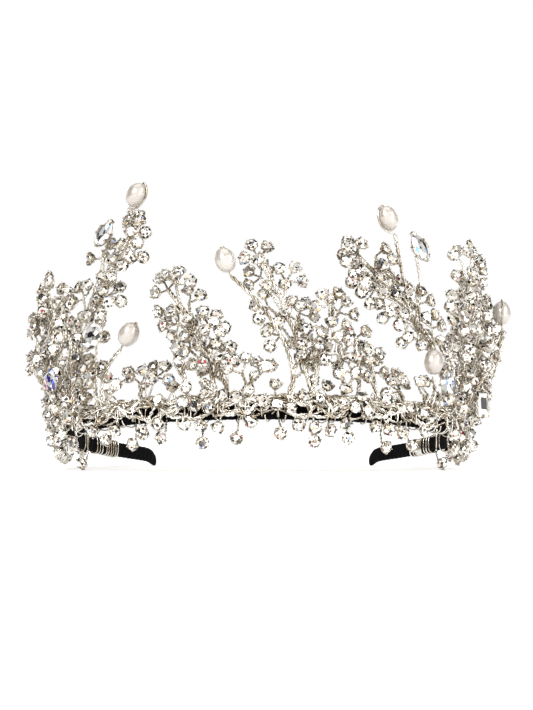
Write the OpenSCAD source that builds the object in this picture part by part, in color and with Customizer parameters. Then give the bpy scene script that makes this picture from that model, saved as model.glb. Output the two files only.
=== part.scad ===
// Wired crystal and pearl tiara on a ribbon-wrapped headband. It rests on two low
// crystal clusters and on the turned-down tips of the band, front edge raised.

/* [Headband] */
// Height of the wrapped strip, seen from the front
strip_h = 5.5; // [4.5:0.1:6]
// Thickness of the wrapped strip
strip_t = 2.6; // [2:0.1:3]
// Tilt of the band at rest, front raised, in degrees
rest_tilt = 7.8; // [6:0.1:9]

/* [Round crystals] */
// Radius of a round crystal at its girdle
stone_r = 1.95; // [1.6:0.05:2]
// Radius of its cup at the rim
cup_r = 2.1; // [1.8:0.05:2.1]
// Length of the stalk from a bunch's middle to a crystal
stalk = 4.8; // [4.6:0.1:5.2]
// Radius of a stalk's wire pair
stalk_r = 0.36; // [0.3:0.02:0.4]
// Radius of a main stem
stem_r = 0.6; // [0.5:0.05:0.7]

/* [Pearls] */
// Length of a pearl along its hole
pearl_l = 8.2; // [7.4:0.1:8.6]
// Width of a pearl
pearl_w = 6.9; // [6.2:0.1:7.2]
// Radius of the wire through a pearl
pearl_wire = 0.3; // [0.25:0.05:0.35]

/* [Hidden] */

// The band's plan, from the front centre to a tip: radius and sweep of each arc.
arcs = [[80, 33], [56, 79], [130, 15], [-60, 12]];
band_half = 169.5;
// Rise of the placed band's front edge, and its shift forward to centre the box.
rest_z = 20.12;
shift_y = -56.95;
shift_x = -3.35;

// Places in these tables and functions are [along, out, up]: mm along the band from
// its front centre (right positive), mm out from its middle, mm above its middle.
foot_out = 2.2;
foot_up = 1.5;
runner_out = 1.85;
runner_up = -2.2;

// The sprays, a row each: 0 foot along, 1 tip along, 2 tip up, 3 tip lean out, 4 bow,
// 5 first twig's height share, 6 twigs, 7 reach of a twig low, 8 and high, 9 first side.
spray_a = [-84, -43, 62, 3, 1.2, 0.42, 3, 4.5, 4.2, -1];
spray_b = [-15, -30, 41, 3, 2, 0.3, 4, 5.5, 4.6, 1];
spray_c = [16, -1, 50, 4, 1.5, 0.34, 5, 5.5, 5, 1];
spray_d = [82, 31, 52, 3, 1.2, 0.5, 4, 4.6, 4.4, 1];
spray_e = [89, 83, 60, 6, 1, 0.32, 3, 4.5, 4.2, 1];
spray_f = [108, 106, 46, 11, 1, 0.34, 3, 4.5, 4.2, -1];
spray_g = [-99, -96, 52, 6, 1, 0.3, 3, 4.5, 4.2, -1];
spray_h = [-117, -115, 42, 11, 1, 0.34, 2, 4.5, 4.2, -1];
low_sprays = [
  [-66, -65, 13, 3, 1, 0.5, 0, 4, 4, 1],
  [-41, -40, 10, 2, 1, 0.5, 0, 4, 4, 1],
  [39.5, 35, 17, 3, 1, 0.5, 0, 4, 4, 1],
  [51.5, 46, 8, 2, 1, 0.5, 0, 4, 4, 1]
];

// The pearls, a row each: 0 along, 1 out, 2 up, 3 lean of the hole to the right in
// degrees, 4 foot along, 5 bend of the stem along, 6 side of the outer loop.
pearls = [
  [-41, 6, 74, 35, -84, 0, 1],
  [-44, 5, 27, 35, -56, -3, 0],
  [-11, 8, 49, -20, 9, 4, 0],
  [41, 6, 66, -25, 82, 0, -1],
  [100, 17, 44, 0, 101.5, 0, -1],
  [58, 7, 19, 5, 60, 0, 0]
];

// The fancy crystals, a row each: 0 along, 1 out, 2 up, 3 turn to the right in
// degrees, 4 width, 5 length, 6 outline (1 pear, 2 oval, 3 rectangle), 7 foot along,
// 8 how far it faces to the right along the band for each step that it faces out.
fancies = [
  [-52, 8, 62, 40, 5.4, 9, 1, -84, 0],
  [51, 9, 57, -35, 5.6, 9.6, 1, 82, 0],
  [64, 8, 13, 5, 5.8, 9, 1, 65, -0.4],
  [-80, 9, 16, -8, 5, 8.6, 1, -76, 0.9],
  [-57.5, 7, 28, 15, 7.4, 9, 2, -60, 0.3],
  [88, 10, 9, 0, 4.6, 8.8, 3, 97.5, -1.3]
];

function unit(v) = v / norm(v);
function mix(a, b, t) = a + (b - a) * t;
function wobble(i) = 2 * (i * 0.618034 - floor(i * 0.618034)) - 1;

// Walks s mm along the arcs: x, y and heading there.
function walk(s, i = 0, x = 0, y = 0, a = 0) =
  let (r = arcs[i][0], full = abs(r) * arcs[i][1] * PI / 180, last = i == len(arcs) - 1)
  let (step = last ? s : min(s, full), b = a + step / r * 180 / PI)
  let (nx = x + r * (sin(b) - sin(a)), ny = y + r * (cos(a) - cos(b)))
  last || s <= full ? [nx, ny, b] : walk(s - full, i + 1, nx, ny, b);

// The tangent, outward and up directions at a place along the band.
function axes_at(u) =
  let (a = walk(abs(u))[2], m = u < 0 ? -1 : 1)
  [[cos(a), m * sin(a), 0], [m * sin(a), -cos(a), 0], [0, 0, 1]];

// A place [along, out, up] as a point.
function at(p) =
  let (w = walk(abs(p[0])), m = p[0] < 0 ? -1 : 1)
  [m * (w[0] + p[1] * sin(w[2])), w[1] - p[1] * cos(w[2]), p[2]];

// A direction [along, out, up] at a place along the band, as a vector.
function heading(u, d) = let (e = axes_at(u)) d[0] * e[0] + d[1] * e[1] + d[2] * e[2];

// The band as it rests, front edge raised and tips on the ground.
module rest() {
  translate([shift_x, shift_y, rest_z]) rotate([-rest_tilt, 0, 0]) children();
}

// A closed skin over rings of equal point counts, with flat ends.
module skin(rings) {
  n = len(rings[0]);
  last = (len(rings) - 1) * n;
  points = [for (ring = rings) for (p = ring) p];
  sides = [
    for (k = [0:len(rings) - 2]) for (i = [0:n - 1])
      let (a = k * n + i, b = k * n + (i + 1) % n)
      each [[a, b, b + n], [a, b + n, a + n]]
  ];
  polyhedron(points, concat([[for (i = [n - 1:-1:0]) i]], sides, [[for (i = [0:n - 1]) last + i]]));
}

// A ring of n points round a point, square to a direction.
function ring(p, d, r, n, turn = 0, side = undef) =
  let (w = unit(d), s = is_undef(side) ? (abs(w[2]) < 0.9 ? [0, 0, 1] : [1, 0, 0]) : side)
  let (e = unit(cross(s, w)), f = cross(w, e))
  [for (i = [0:n - 1]) let (a = turn - 360 * i / n) p + r * (cos(a) * e + sin(a) * f)];

// A wire through points, n-sided; its rings lean on the outward direction given.
module wire(points, r, n, side = undef) {
  last = len(points) - 1;
  skin([
    for (k = [0:last])
      ring(points[k], points[min(k + 1, last)] - points[max(k - 1, 0)], r, n, 0, side)
  ]);
}

// A turned solid about an axis: rows of height and radius.
module turned(p, axis, rows, n) {
  skin([for (row = rows) ring(p + row[0] * unit(axis), axis, row[1], n, 180 / n)]);
}

// The band and its bindings.

// The strip's section: a flat oval, its half height and sag changed near a tip.
function strip_ring(u, share, sag) =
  [for (i = [0:7])
    let (c = cos(45 * i + 22.5), s = sin(45 * i + 22.5))
    at([u, sign(c) * pow(abs(c), 0.75) * strip_t / 2 * pow(share, 0.4),
        sag + sign(s) * pow(abs(s), 0.75) * strip_h / 2 * share])
  ];

// How far along, height share and sag of each ring in a tip, from the plain strip out.
tip_rows = [[-7, 1, 0], [-4.2, 0.98, -0.25], [-2.4, 0.94, -0.8], [-1, 0.82, -1.5], [-0.2, 0.6, -2.2], [0, 0.36, -2.6]];

module ribbon_band() {
  plain = band_half - 12;
  left = [for (row = [5:-1:0]) [-band_half - tip_rows[row][0], tip_rows[row][1], tip_rows[row][2]]];
  middle = [for (k = [0:36]) [mix(-plain, plain, k / 36), 1, 0]];
  right = [for (row = tip_rows) [band_half + row[0], row[1], row[2]]];
  color([0.04, 0.04, 0.045]) rest() {
    skin([for (row = concat(left, middle, right)) strip_ring(row[0], row[1], row[2])]);
  }
}

// One turn of binding wire round the strip, reaching out to a given distance.
module turn_of_wire(u, reach) {
  e = axes_at(u);
  p = at([u, 0, 0]);
  gap = 0.22;
  thick = 0.42;
  inner = [[-strip_t / 2 - gap, -strip_h / 2 + 0.5], [-0.5, -strip_h / 2 - gap], [reach - 0.9, -strip_h / 2 - gap],
    [reach, -1.2], [reach, 1.7], [reach - 0.9, strip_h / 2 + gap], [-0.5, strip_h / 2 + gap],
    [-strip_t / 2 - gap, strip_h / 2 - 0.5]];
  outer = [for (q = inner) [q[0] + (q[0] > 0.8 ? thick : -thick), q[1] + sign(q[1]) * thick * (abs(q[1]) > 2 ? 1 : 0.3)]];
  multmatrix([[e[1][0], 0, e[0][0], p[0]], [e[1][1], 0, e[0][1], p[1]], [0, 1, 0, 0], [0, 0, 0, 1]])
    translate([0, 0, -0.22]) linear_extrude(0.44) difference() {
      polygon(outer);
      polygon(inner);
    }
}

module front_wraps() {
  color([0.86, 0.84, 0.8]) rest() {
    for (k = [0:9]) turn_of_wire(-49.5 + 12 * k, 3.2);
    for (u = [-70.5, 70.5]) turn_of_wire(u, 3.2);
  }
}

module left_binding() {
  color([0.86, 0.84, 0.8]) rest() for (u = [129, 133, 136, 139, 140.5, 142, 143.5]) turn_of_wire(-u, 1.45);
}

module right_binding() {
  color([0.86, 0.84, 0.8]) rest() {
    for (u = [128, 132, 139.4]) turn_of_wire(u, 1.45);
    for (k = [0:5]) turn_of_wire(134.5 + 0.62 * k, 1.45);
  }
}

// The wire bundle laid along the front face, slightly wavy.
module vine_wire() {
  color([0.86, 0.84, 0.8]) rest()
    wire([for (k = [0:24]) let (u = mix(-70, 70, k / 24)) at([u, 2.35, -0.45 + 0.2 * sin(k * 70)])], 0.65, 6);
}

// The sprays.

function stem_at(s, t) =
  [mix(s[0], s[1], pow(t, s[4])), foot_out + s[3] * pow(t, 1.5), mix(foot_up, s[2], t)];
function stem_turn(s, t) =
  let (d = stem_at(s, t + 0.02) - stem_at(s, t - 0.02)) atan2(d[0], d[2]);

// Each bunch of a spray: its middle, its turn from upright, and its number.
function bunches(s) = concat(
  [for (j = [0:1:s[6] - 1])
    let (t = mix(s[5], 1 - 13 / norm([s[1] - s[0], s[2]]), j / max(s[6] - 1, 1)), side = s[9] * (j % 2 == 0 ? 1 : -1))
    let (layer = floor(j / 2) % 2 == 0 ? 1.2 : -1, turn = stem_turn(s, t) + 55 * side)
    let (p = stem_at(s, t), r = mix(s[7], s[8], t))
    [p + [r * sin(turn), layer, r * cos(turn)], turn, j, t, layer]
  ],
  [[stem_at(s, 1), stem_turn(s, 0.97), s[6], 1, 0]]
);

// Each crystal of a spray: its place, the middle it stands on, and its facing.
function crystals(s) =
  [for (b = bunches(s)) for (k = [-1:1])
    let (turn = b[1] + 62 * k, reach = stalk + 0.4 * wobble(b[2] * 3 + k + 9))
    let (p = b[0] + [reach * sin(turn), b[4], reach * cos(turn)])
    [p, b[0], [0.5 * sin(turn), 1, 0.5 * cos(turn)]]
  ];

module crystal(c) {
  turned(at(c[0]), heading(c[0][0], c[2]), [[0.12, stone_r], [1.05, stone_r * 0.56]], 8);
}

// A crystal's cup and its stalk from the bunch's middle, as one bent wire that flares.
module cup_on_stalk(c) {
  p = at(c[0]);
  axis = unit(heading(c[0][0], c[2]));
  from = at(c[1]);
  elbow = p - 2.5 * axis;
  side = unit(cross(unit(elbow - from), axis));
  skin([
    ring(from, elbow - from, stalk_r, 5, 0, side),
    ring(elbow, unit(elbow - from) + axis, stalk_r, 5, 0, side),
    ring(p - 1.6 * axis, axis, 0.9, 5, 0, side),
    ring(p, axis, cup_r, 5, 0, side)
  ]);
}

// The main stem: a run along the band, then the rise.
module stem(s) {
  run = s[0] > 0 ? 6 : -6;
  places = concat([[s[0] + run, foot_out, foot_up]], [for (k = [0:6]) stem_at(s, k / 6)]);
  last = len(places) - 1;
  skin([
    for (k = [0:last])
      let (ahead = at(places[min(k + 1, last)]) - at(places[max(k - 1, 0)]))
      ring(at(places[k]), ahead, stem_r * mix(1, 0.7, k / last), 6, 0, axes_at(places[k][0])[1])
  ]);
}

// The twisted knot where a bunch's stalks part.
module knot(p, d) {
  turned(p, d, [[-0.7, 0.5], [0.7, 0.7]], 5);
}

module spray_wire(s) {
  color([0.86, 0.84, 0.8]) rest() {
    stem(s);
    for (b = bunches(s)) {
      from = at(stem_at(s, b[3] - 0.06));
      knot(at(b[0]), at(b[0]) - from);
      if (b[3] < 1) wire([from, at(b[0])], stalk_r * 1.2, 5);
    }
    for (c = crystals(s)) cup_on_stalk(c);
  }
}

module spray_crystals(s) {
  color([0.92, 0.94, 0.96]) rest() for (c = crystals(s)) crystal(c);
}

module low_sprays_wire() {
  for (s = low_sprays) spray_wire(s);
}

module low_sprays_crystals() {
  for (s = low_sprays) spray_crystals(s);
}

// The crystals hanging below the band.

// Rows: 0 first place along, 1 spacing, 2 count, 3 first drop, 4 last drop, 5 play in
// the drop, 6 out.
front_fringe = [-55.5, 12, 10, 9.3, 9.3, 1.8, 3.4];
left_fringe = [-66, -9.5, 6, 8.6, 7, 0, 4];
right_fringe = [66, 9.5, 6, 8.6, 7, 0, 4];
// Drop of the lowest crystal on each side, which the tiara rests on.
low_drop = 15.15;

function hanging(f) =
  [for (i = [0:f[2] - 1])
    let (u = f[0] + f[1] * i, low = abs(u) == 66)
    let (drop = low ? low_drop : mix(f[3], f[4], i / (f[2] - 1)) + f[5] * wobble(i))
    let (p = [u + (low ? 0 : 1.5 * wobble(i + 3)), f[6] + 0.8 * wobble(i + 1), -drop])
    [p, [u, runner_out, runner_up], [low ? 0 : 0.3 * wobble(i), 1, -0.35]]
  ];

module fringe_wire(f) {
  u0 = f[0] - sign(f[1]) * 2;
  u1 = f[0] + f[1] * (f[2] - 1) + sign(f[1]) * 2;
  steps = round(abs(u1 - u0) / 7);
  color([0.86, 0.84, 0.8]) rest() {
    skin([
      for (k = [0:steps])
        let (u = mix(u0, u1, k / steps))
        ring(at([u, runner_out, runner_up]), sign(f[1]) * axes_at(u)[0], 0.42, 5)
    ]);
    for (c = hanging(f)) cup_on_stalk(c);
  }
}

module fringe_crystals(f) {
  color([0.92, 0.94, 0.96]) rest() for (c = hanging(f)) crystal(c);
}

// The pearls.

function pearl_axis(r) = heading(r[0], [sin(r[3]), 0, cos(r[3])]);

// Turns the z axis to a direction.
module along(d) {
  w = unit(d);
  rotate([0, acos(w[2]), atan2(w[1], w[0])]) children();
}

module pearl(r) {
  bore = pearl_wire + 0.14;
  rest() color([0.95, 0.9, 0.85]) translate(at([r[0], r[1], r[2]])) along(pearl_axis(r))
    rotate_extrude($fn = 48) polygon(concat([[bore, -pearl_l / 2 + 0.15]],
      [for (a = [-80:16:80]) [pearl_w / 2 * cos(a), pearl_l / 2 * sin(a)]], [[bore, pearl_l / 2 - 0.15]]));
}

// A wire bound to a spray's main stem from one height share to another.
function beside(s, from, to, shift) =
  [for (k = [0:5]) at(stem_at(s, mix(from, to, k / 5)) + shift)];

// The stem's curve from the band to under the pearl, as points. The two highest
// pearls ride up their spray's stem.
function pearl_stem(r) =
  let (low = [r[0] - (pearl_l / 2 + 1.6) * sin(r[3]), r[1], r[2] - (pearl_l / 2 + 1.6) * cos(r[3])])
  let (foot = [r[4], foot_out, foot_up], knee = [r[4] + r[5], r[1], r[2] * 0.45])
  r[4] == spray_a[0] ? concat(beside(spray_a, 0.2, 1, [0, -1.45, 0]), [at([-43, 2.9, 66]), at([-42.8, 3.4, 68.8]), at(low)]) :
  r[4] == spray_d[0] ? concat(beside(spray_d, 0.25, 0.6, [0, -1.45, 0]), [at([47.5, 4.6, 47]), at(low)]) :
  [for (k = [0:6]) let (t = k / 6) at((1 - t) * (1 - t) * foot + 2 * t * (1 - t) * knee + t * t * low)];

module pearl_wire(r) {
  axis = pearl_axis(r);
  mid = at([r[0], r[1], r[2]]);
  side = heading(r[0], [cos(r[3]), 0, -sin(r[3])]) * (r[6] == 0 ? 1 : r[6]);
  top = mid + (pearl_l / 2 + 0.6) * axis;
  color([0.86, 0.84, 0.8]) rest() {
    wire(pearl_stem(r), 0.5, 6);
    wire([mid - (pearl_l / 2 + 2) * axis, mid, top], pearl_wire, 6);
    if (r[6] != 0) {
      loop = [for (a = [80:-20:-80]) mid + (pearl_l / 2 + 0.7) * sin(a) * axis + (pearl_w / 2 + 0.55) * cos(a) * side];
      wire(concat([top - 0.2 * axis], loop, [mid - (pearl_l / 2 + 1.4) * axis]), 0.25, 5, cross(axis, side));
    }
  }
}

// The fancy crystals.

// Outline of a fancy crystal, ten points, grown by a margin.
function outline(r, grow) =
  [for (i = [0:9])
    let (a = 36 * i + 18, c = cos(a), s = sin(a), w = r[4] / 2 + grow, l = r[5] / 2 + grow)
    r[6] == 1 ? [w * c * (1 - 0.45 * max(0, s)), l * s] :
    r[6] == 2 ? [w * c, l * s] :
    [w * min(1, max(-1, 1.35 * c)), l * min(1, max(-1, 1.35 * s)) * (abs(c) > 0.9 ? 1.9 : 1)]
  ];

function facing(r) = unit(heading(r[0], [r[8], 1, 0.12]));

// The outline as a ring of points, at a height along the facing direction.
function outline_ring(r, grow, share, z) =
  let (out = facing(r), up0 = heading(r[0], [sin(r[3]), 0, cos(r[3])]))
  let (up = unit(up0 - (up0 * out) * out), right = cross(up, -out), mid = at([r[0], r[1], r[2]]))
  [for (q = outline(r, grow)) mid + z * out + share * (q[0] * right + q[1] * up)];

module fancy_crystal(r) {
  color([0.75, 0.82, 0.9]) rest() skin([for (row = [[0.35, -1.9], [1, -0.2], [1, 0.15], [0.62, 1.2]]) outline_ring(r, 0, row[0], row[1])]);
}

// The stem that carries a fancy crystal: from the band, or off its spray's stem.
function fancy_stem(r, back) =
  let (foot = [r[7], foot_out, foot_up], knee = [mix(r[7], r[0], 0.3), r[1] * 0.55, r[2] * 0.55])
  r[7] == spray_a[0] ? concat(beside(spray_a, 0.48, 0.7, [-0.9, 1.2, 0.4]), [back - [0, 0, 0.9]]) :
  r[7] == spray_d[0] ? concat(beside(spray_d, 0.48, 0.64, [0, 1.5, 0]), [at([53.5, 6, 44]), back]) :
  [for (k = [0:5]) let (t = k / 5) (1 - t) * (1 - t) * at(foot) + 2 * t * (1 - t) * at(knee) + t * t * back];

// An open-topped cup round a fancy crystal, with claws and its stem.
module fancy_setting(r) {
  rings = [[0.3, 0.45, -2.9], [0.3, 1, -0.3], [0.3, 1, 0.1], [0.12, 1, 0.1], [0.12, 1, -0.3], [0.12, 0.36, -2.15]];
  out = facing(r);
  back = at([r[0], r[1], r[2]]) - 2.7 * out;
  claws = outline_ring(r, 0.3, 1, -0.6);
  color([0.86, 0.84, 0.8]) rest() {
    skin([for (row = rings) outline_ring(r, row[0], row[1], row[2])]);
    for (i = [0, 2, 4, 5, 7, 9]) wire([claws[i], claws[i] + 1.4 * out], 0.3, 5);
    wire(fancy_stem(r, back), 0.45, 6);
  }
}

ribbon_band();
vine_wire();
front_wraps();
left_binding();
right_binding();
spray_wire(spray_a);  // spray_a_wire
spray_crystals(spray_a);  // spray_a_crystals
spray_wire(spray_b);  // spray_b_wire
spray_crystals(spray_b);  // spray_b_crystals
spray_wire(spray_c);  // spray_c_wire
spray_crystals(spray_c);  // spray_c_crystals
spray_wire(spray_d);  // spray_d_wire
spray_crystals(spray_d);  // spray_d_crystals
spray_wire(spray_e);  // spray_e_wire
spray_crystals(spray_e);  // spray_e_crystals
spray_wire(spray_f);  // spray_f_wire
spray_crystals(spray_f);  // spray_f_crystals
spray_wire(spray_g);  // spray_g_wire
spray_crystals(spray_g);  // spray_g_crystals
spray_wire(spray_h);  // spray_h_wire
spray_crystals(spray_h);  // spray_h_crystals
low_sprays_wire();
low_sprays_crystals();
fringe_wire(front_fringe);  // front_fringe_wire
fringe_crystals(front_fringe);  // front_fringe_crystals
fringe_wire(left_fringe);  // left_fringe_wire
fringe_crystals(left_fringe);  // left_fringe_crystals
fringe_wire(right_fringe);  // right_fringe_wire
fringe_crystals(right_fringe);  // right_fringe_crystals
pearl(pearls[0]);  // pearl_1
pearl(pearls[1]);  // pearl_2
pearl(pearls[2]);  // pearl_3
pearl(pearls[3]);  // pearl_4
pearl(pearls[4]);  // pearl_5
pearl(pearls[5]);  // pearl_6
pearl_wire(pearls[0]);  // pearl_wire_1
pearl_wire(pearls[1]);  // pearl_wire_2
pearl_wire(pearls[2]);  // pearl_wire_3
pearl_wire(pearls[3]);  // pearl_wire_4
pearl_wire(pearls[4]);  // pearl_wire_5
pearl_wire(pearls[5]);  // pearl_wire_6
fancy_crystal(fancies[0]);  // pear_crystal_left
fancy_crystal(fancies[1]);  // pear_crystal_right
fancy_crystal(fancies[2]);  // pear_crystal_low
fancy_crystal(fancies[3]);  // pear_crystal_violet
fancy_crystal(fancies[4]);  // oval_crystal
fancy_crystal(fancies[5]);  // baguette_crystal
fancy_setting(fancies[0]);  // pear_setting_left
fancy_setting(fancies[1]);  // pear_setting_right
fancy_setting(fancies[2]);  // pear_setting_low
fancy_setting(fancies[3]);  // pear_setting_violet
fancy_setting(fancies[4]);  // oval_setting
fancy_setting(fancies[5]);  // baguette_setting
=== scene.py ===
# A tiara of wired crystals and pearls on a ribbon-wrapped headband, dressed over its frame.
# Shapes are worked out in millimetres as [along, out, up]: along the band from its front
# centre (right positive), out from its middle, and up from its middle. They are laid to
# rest and turned to metres when a piece is joined.
import math

import bpy
import numpy as np
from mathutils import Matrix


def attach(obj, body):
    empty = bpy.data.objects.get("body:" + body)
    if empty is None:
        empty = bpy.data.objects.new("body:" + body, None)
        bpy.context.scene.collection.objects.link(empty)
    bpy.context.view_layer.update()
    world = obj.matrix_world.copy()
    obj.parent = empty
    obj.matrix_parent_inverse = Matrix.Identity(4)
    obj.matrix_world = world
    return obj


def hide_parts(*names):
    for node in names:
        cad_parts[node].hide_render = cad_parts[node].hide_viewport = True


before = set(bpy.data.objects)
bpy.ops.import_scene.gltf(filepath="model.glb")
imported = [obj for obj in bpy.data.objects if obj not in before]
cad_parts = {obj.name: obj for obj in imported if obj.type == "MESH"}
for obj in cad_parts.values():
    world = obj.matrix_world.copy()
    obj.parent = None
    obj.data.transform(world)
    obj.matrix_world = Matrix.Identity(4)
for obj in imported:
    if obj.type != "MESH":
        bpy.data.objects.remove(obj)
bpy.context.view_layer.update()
print("frame loaded")

# The band's plan as arcs of radius and sweep from the front centre to a tip, its section,
# and how it lies at rest.
band = {
    "arcs": ((80, 33), (56, 79), (130, 15), (-60, 12)),
    "half": 169.5, "height": 5.5, "thick": 2.6, "square": 0.75,
    "tilt": 7.8, "move": (-3.35, -56.95, 20.12),
}


# Numbers that look random and stay the same: n times the golden ratio, its whole part cut,
# stretched to reach from -1 to 1.
def wobble(number):
    return 2 * np.mod(np.asarray(number, float) * 0.618034, 1) - 1


# The low value plus a share of the step to the high one.
def mix(low, high, share):
    return low + (high - low) * share


# A value between two limits that looks random.
def between(limits, number):
    return mix(*limits, 0.5 + 0.5 * wobble(number))


# Vectors divided by their lengths.
def unit(vectors):
    vectors = np.asarray(vectors, float)
    return vectors / np.maximum(np.linalg.norm(vectors, axis=-1, keepdims=True), 1e-9)


# Cosine and sine of a turn, both raised to a power under 1 with their signs kept, which
# makes the oval squarer.
def squareTurn(angle, power):
    wide, tall = np.cos(angle), np.sin(angle)
    return np.sign(wide) * np.abs(wide) ** power, np.sign(tall) * np.abs(tall) ** power


# Walks the arcs: over a length s on radius r the heading grows by s / r, x grows by r times
# the rise of its sine, and y by r times the fall of its cosine.
def walkBand(along):
    left = np.abs(np.asarray(along, float))
    x = np.zeros_like(left)
    y = np.zeros_like(left)
    turn = np.zeros_like(left)
    for number, (radius, sweep) in enumerate(band["arcs"]):
        full = abs(radius) * math.radians(sweep)
        last = number == len(band["arcs"]) - 1
        step = left if last else np.minimum(left, full)
        ahead = turn + step / radius
        x = x + radius * (np.sin(ahead) - np.sin(turn))
        y = y + radius * (np.cos(turn) - np.cos(ahead))
        turn = ahead
        left = left - step
    return x, y, turn


# Turns [along, out, up] into x, y, z: the walk's point moved square to the band.
def place(spots):
    spots = np.asarray(spots, float)
    side = np.where(spots[..., 0] < 0, -1.0, 1.0)
    x, y, turn = walkBand(spots[..., 0])
    out = spots[..., 1]
    return np.stack([side * (x + out * np.sin(turn)), y - out * np.cos(turn), spots[..., 2]], -1)


# The same for places along, out and up in arrays of their own.
def placeAll(along, out, up):
    return place(np.stack(np.broadcast_arrays(along, out, up), -1))


# Turns directions along, out and up into x, y, z at places along the band.
def lead(along, ways):
    along = np.asarray(along, float)
    ways = np.asarray(ways, float)
    side = np.where(along < 0, -1.0, 1.0)
    turn = walkBand(along)[2]
    tangent = np.stack([np.cos(turn), side * np.sin(turn), 0 * turn], -1)
    outward = np.stack([side * np.sin(turn), -np.cos(turn), 0 * turn], -1)
    upward = np.array((0.0, 0.0, 1.0))
    return ways[..., :1] * tangent + ways[..., 1:2] * outward + ways[..., 2:] * upward


# Lays points down as the tiara rests: a turn by the tilt about x, then the move, in metres.
def rest(points):
    tilt = math.radians(band["tilt"])
    y = points[:, 1] * math.cos(tilt) + points[:, 2] * math.sin(tilt)
    z = points[:, 2] * math.cos(tilt) - points[:, 1] * math.sin(tilt)
    return (np.stack([points[:, 0], y, z], -1) + np.array(band["move"])) * 0.001


# Parts as one: the later ones' faces count on from the points before them. A part is its
# points, its groups of faces with equal corner counts, and maybe a colour for each face.
def mergeParts(parts):
    groups = []
    start = 0
    for part in parts:
        groups += [group + start for group in part[1]]
        start += len(part[0])
    return np.concatenate([part[0] for part in parts]), groups


# Joins parts into one mesh, hangs it on the root body, and hides the frame's parts that it stands for.
def joinPiece(name, parts, finish, nodes=(), smooth=True):
    points, groups = mergeParts(parts)
    points = rest(points)
    corners = np.concatenate([group.ravel() for group in groups])
    counts = np.concatenate([np.full(len(group), group.shape[1]) for group in groups])
    tones = [part[2] if len(part) > 2 else np.ones((sum(map(len, part[1])), 3)) for part in parts]
    tint = np.repeat(np.concatenate(tones), counts, axis=0)
    tint = np.column_stack([tint, np.ones(len(tint))])
    mesh = bpy.data.meshes.new(name)
    mesh.vertices.add(len(points))
    mesh.vertices.foreach_set("co", points.astype(np.float32).ravel())
    mesh.loops.add(len(corners))
    mesh.loops.foreach_set("vertex_index", corners.astype(np.int32))
    mesh.polygons.add(len(counts))
    mesh.polygons.foreach_set("loop_start", (np.cumsum(counts) - counts).astype(np.int32))
    mesh.polygons.foreach_set("use_smooth", np.full(len(counts), smooth))
    colours = mesh.color_attributes.new("facet", "FLOAT_COLOR", "CORNER")
    colours.data.foreach_set("color", tint.astype(np.float32).ravel())
    mesh.update(calc_edges=True)
    mesh.validate()
    piece = bpy.data.objects.new(name, mesh)
    bpy.context.scene.collection.objects.link(piece)
    mesh.materials.append(finish)
    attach(piece, "root")
    if nodes:
        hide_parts(*nodes)


# The faces over rings of points: four corners between two rings, and a cap at both ends.
def ringFaces(rings, sides, count=1):
    number = np.arange(count * rings * sides).reshape(count, rings, sides)
    after = np.roll(number, -1, 2)
    quads = np.stack([number[:, :-1], after[:, :-1], after[:, 1:], number[:, 1:]], -1)
    return [quads.reshape(-1, 4), np.concatenate([number[:, 0, ::-1], number[:, -1]])]


# A smooth path through control points: on each stretch, half of the sum of the cubic terms
# whose slopes at its ends are half the step between the neighbours.
def smoothPath(controls, count):
    controls = np.asarray(controls, float)
    if controls.ndim == 2:
        controls = controls[None]
    before = 2 * controls[:, :1] - controls[:, 1:2]
    after = 2 * controls[:, -1:] - controls[:, -2:-1]
    padded = np.concatenate([before, controls, after], 1)
    share = np.linspace(0, controls.shape[1] - 1, count)
    low = np.minimum(share.astype(int), controls.shape[1] - 2)
    t = (share - low)[None, :, None]
    a, b, c, d = (padded[:, low + step] for step in range(4))
    bend = 2 * a - 5 * b + 4 * c - d
    twist = 3 * b - a - 3 * c + d
    return 0.5 * (2 * b + (c - a) * t + bend * t**2 + twist * t**3)


# A curve from a start to an end that a knee draws to its side: the three points times
# (1 - t) squared, 2t(1 - t) and t squared.
def kneeCurve(start, knee, end, count):
    t = np.linspace(0, 1, count)[:, None]
    return (1 - t) ** 2 * start + 2 * t * (1 - t) * knee + t**2 * end


# Two directions square to each path at each of its points. The first is square to the axis
# that the path follows least, too.
def pathAxes(paths):
    ahead = unit(np.gradient(paths, axis=1))
    lean = np.eye(3)[np.abs(ahead.mean(1)).argmin(-1)][:, None, :]
    first = unit(np.cross(lean, ahead))
    return first, np.cross(ahead, first)


# The turn at each point of a path: a full one for each pitch of its length so far.
def pathTurns(paths, pitch):
    steps = np.linalg.norm(np.diff(paths, axis=1, prepend=paths[:, :1]), axis=-1)
    return 2 * np.pi * (np.cumsum(steps, 1) / pitch)[..., None]


# Directions round a path: its two square ones times the cosine and the sine of an angle.
def roundPath(paths, angle):
    first, second = pathAxes(paths)
    return np.cos(angle)[..., None] * first[:, :, None] + np.sin(angle)[..., None] * second[:, :, None]


# Tubes along paths: at each point a ring, the radius times directions at equal turns. With
# lobes, the radius swells twice round the ring and the ring turns once each pitch, as two
# twisted strands do.
def tubes(paths, radius, sides, lobes=0, pitch=1):
    tubeCount, ringCount = paths.shape[:2]
    angle = np.broadcast_to(2 * np.pi * np.arange(sides) / sides, (tubeCount, ringCount, sides))
    swell = 1 + lobes * np.cos(2 * angle)
    if lobes:
        angle = angle + pathTurns(paths, pitch)
    radius = np.broadcast_to(radius, (tubeCount, ringCount))[..., None] * swell
    points = paths[:, :, None] + radius[..., None] * roundPath(paths, angle)
    return points.reshape(-1, 3), ringFaces(ringCount, sides, tubeCount)


# Strands wound round each path: offset from it in directions that turn once each pitch.
def wind(paths, count, offset, pitch):
    turn = pathTurns(paths, pitch) + 2 * np.pi * np.arange(count) / count
    strands = paths[:, :, None] + offset * roundPath(paths, turn)
    return np.moveaxis(strands, 2, 1).reshape(-1, paths.shape[1], 3)


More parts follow.
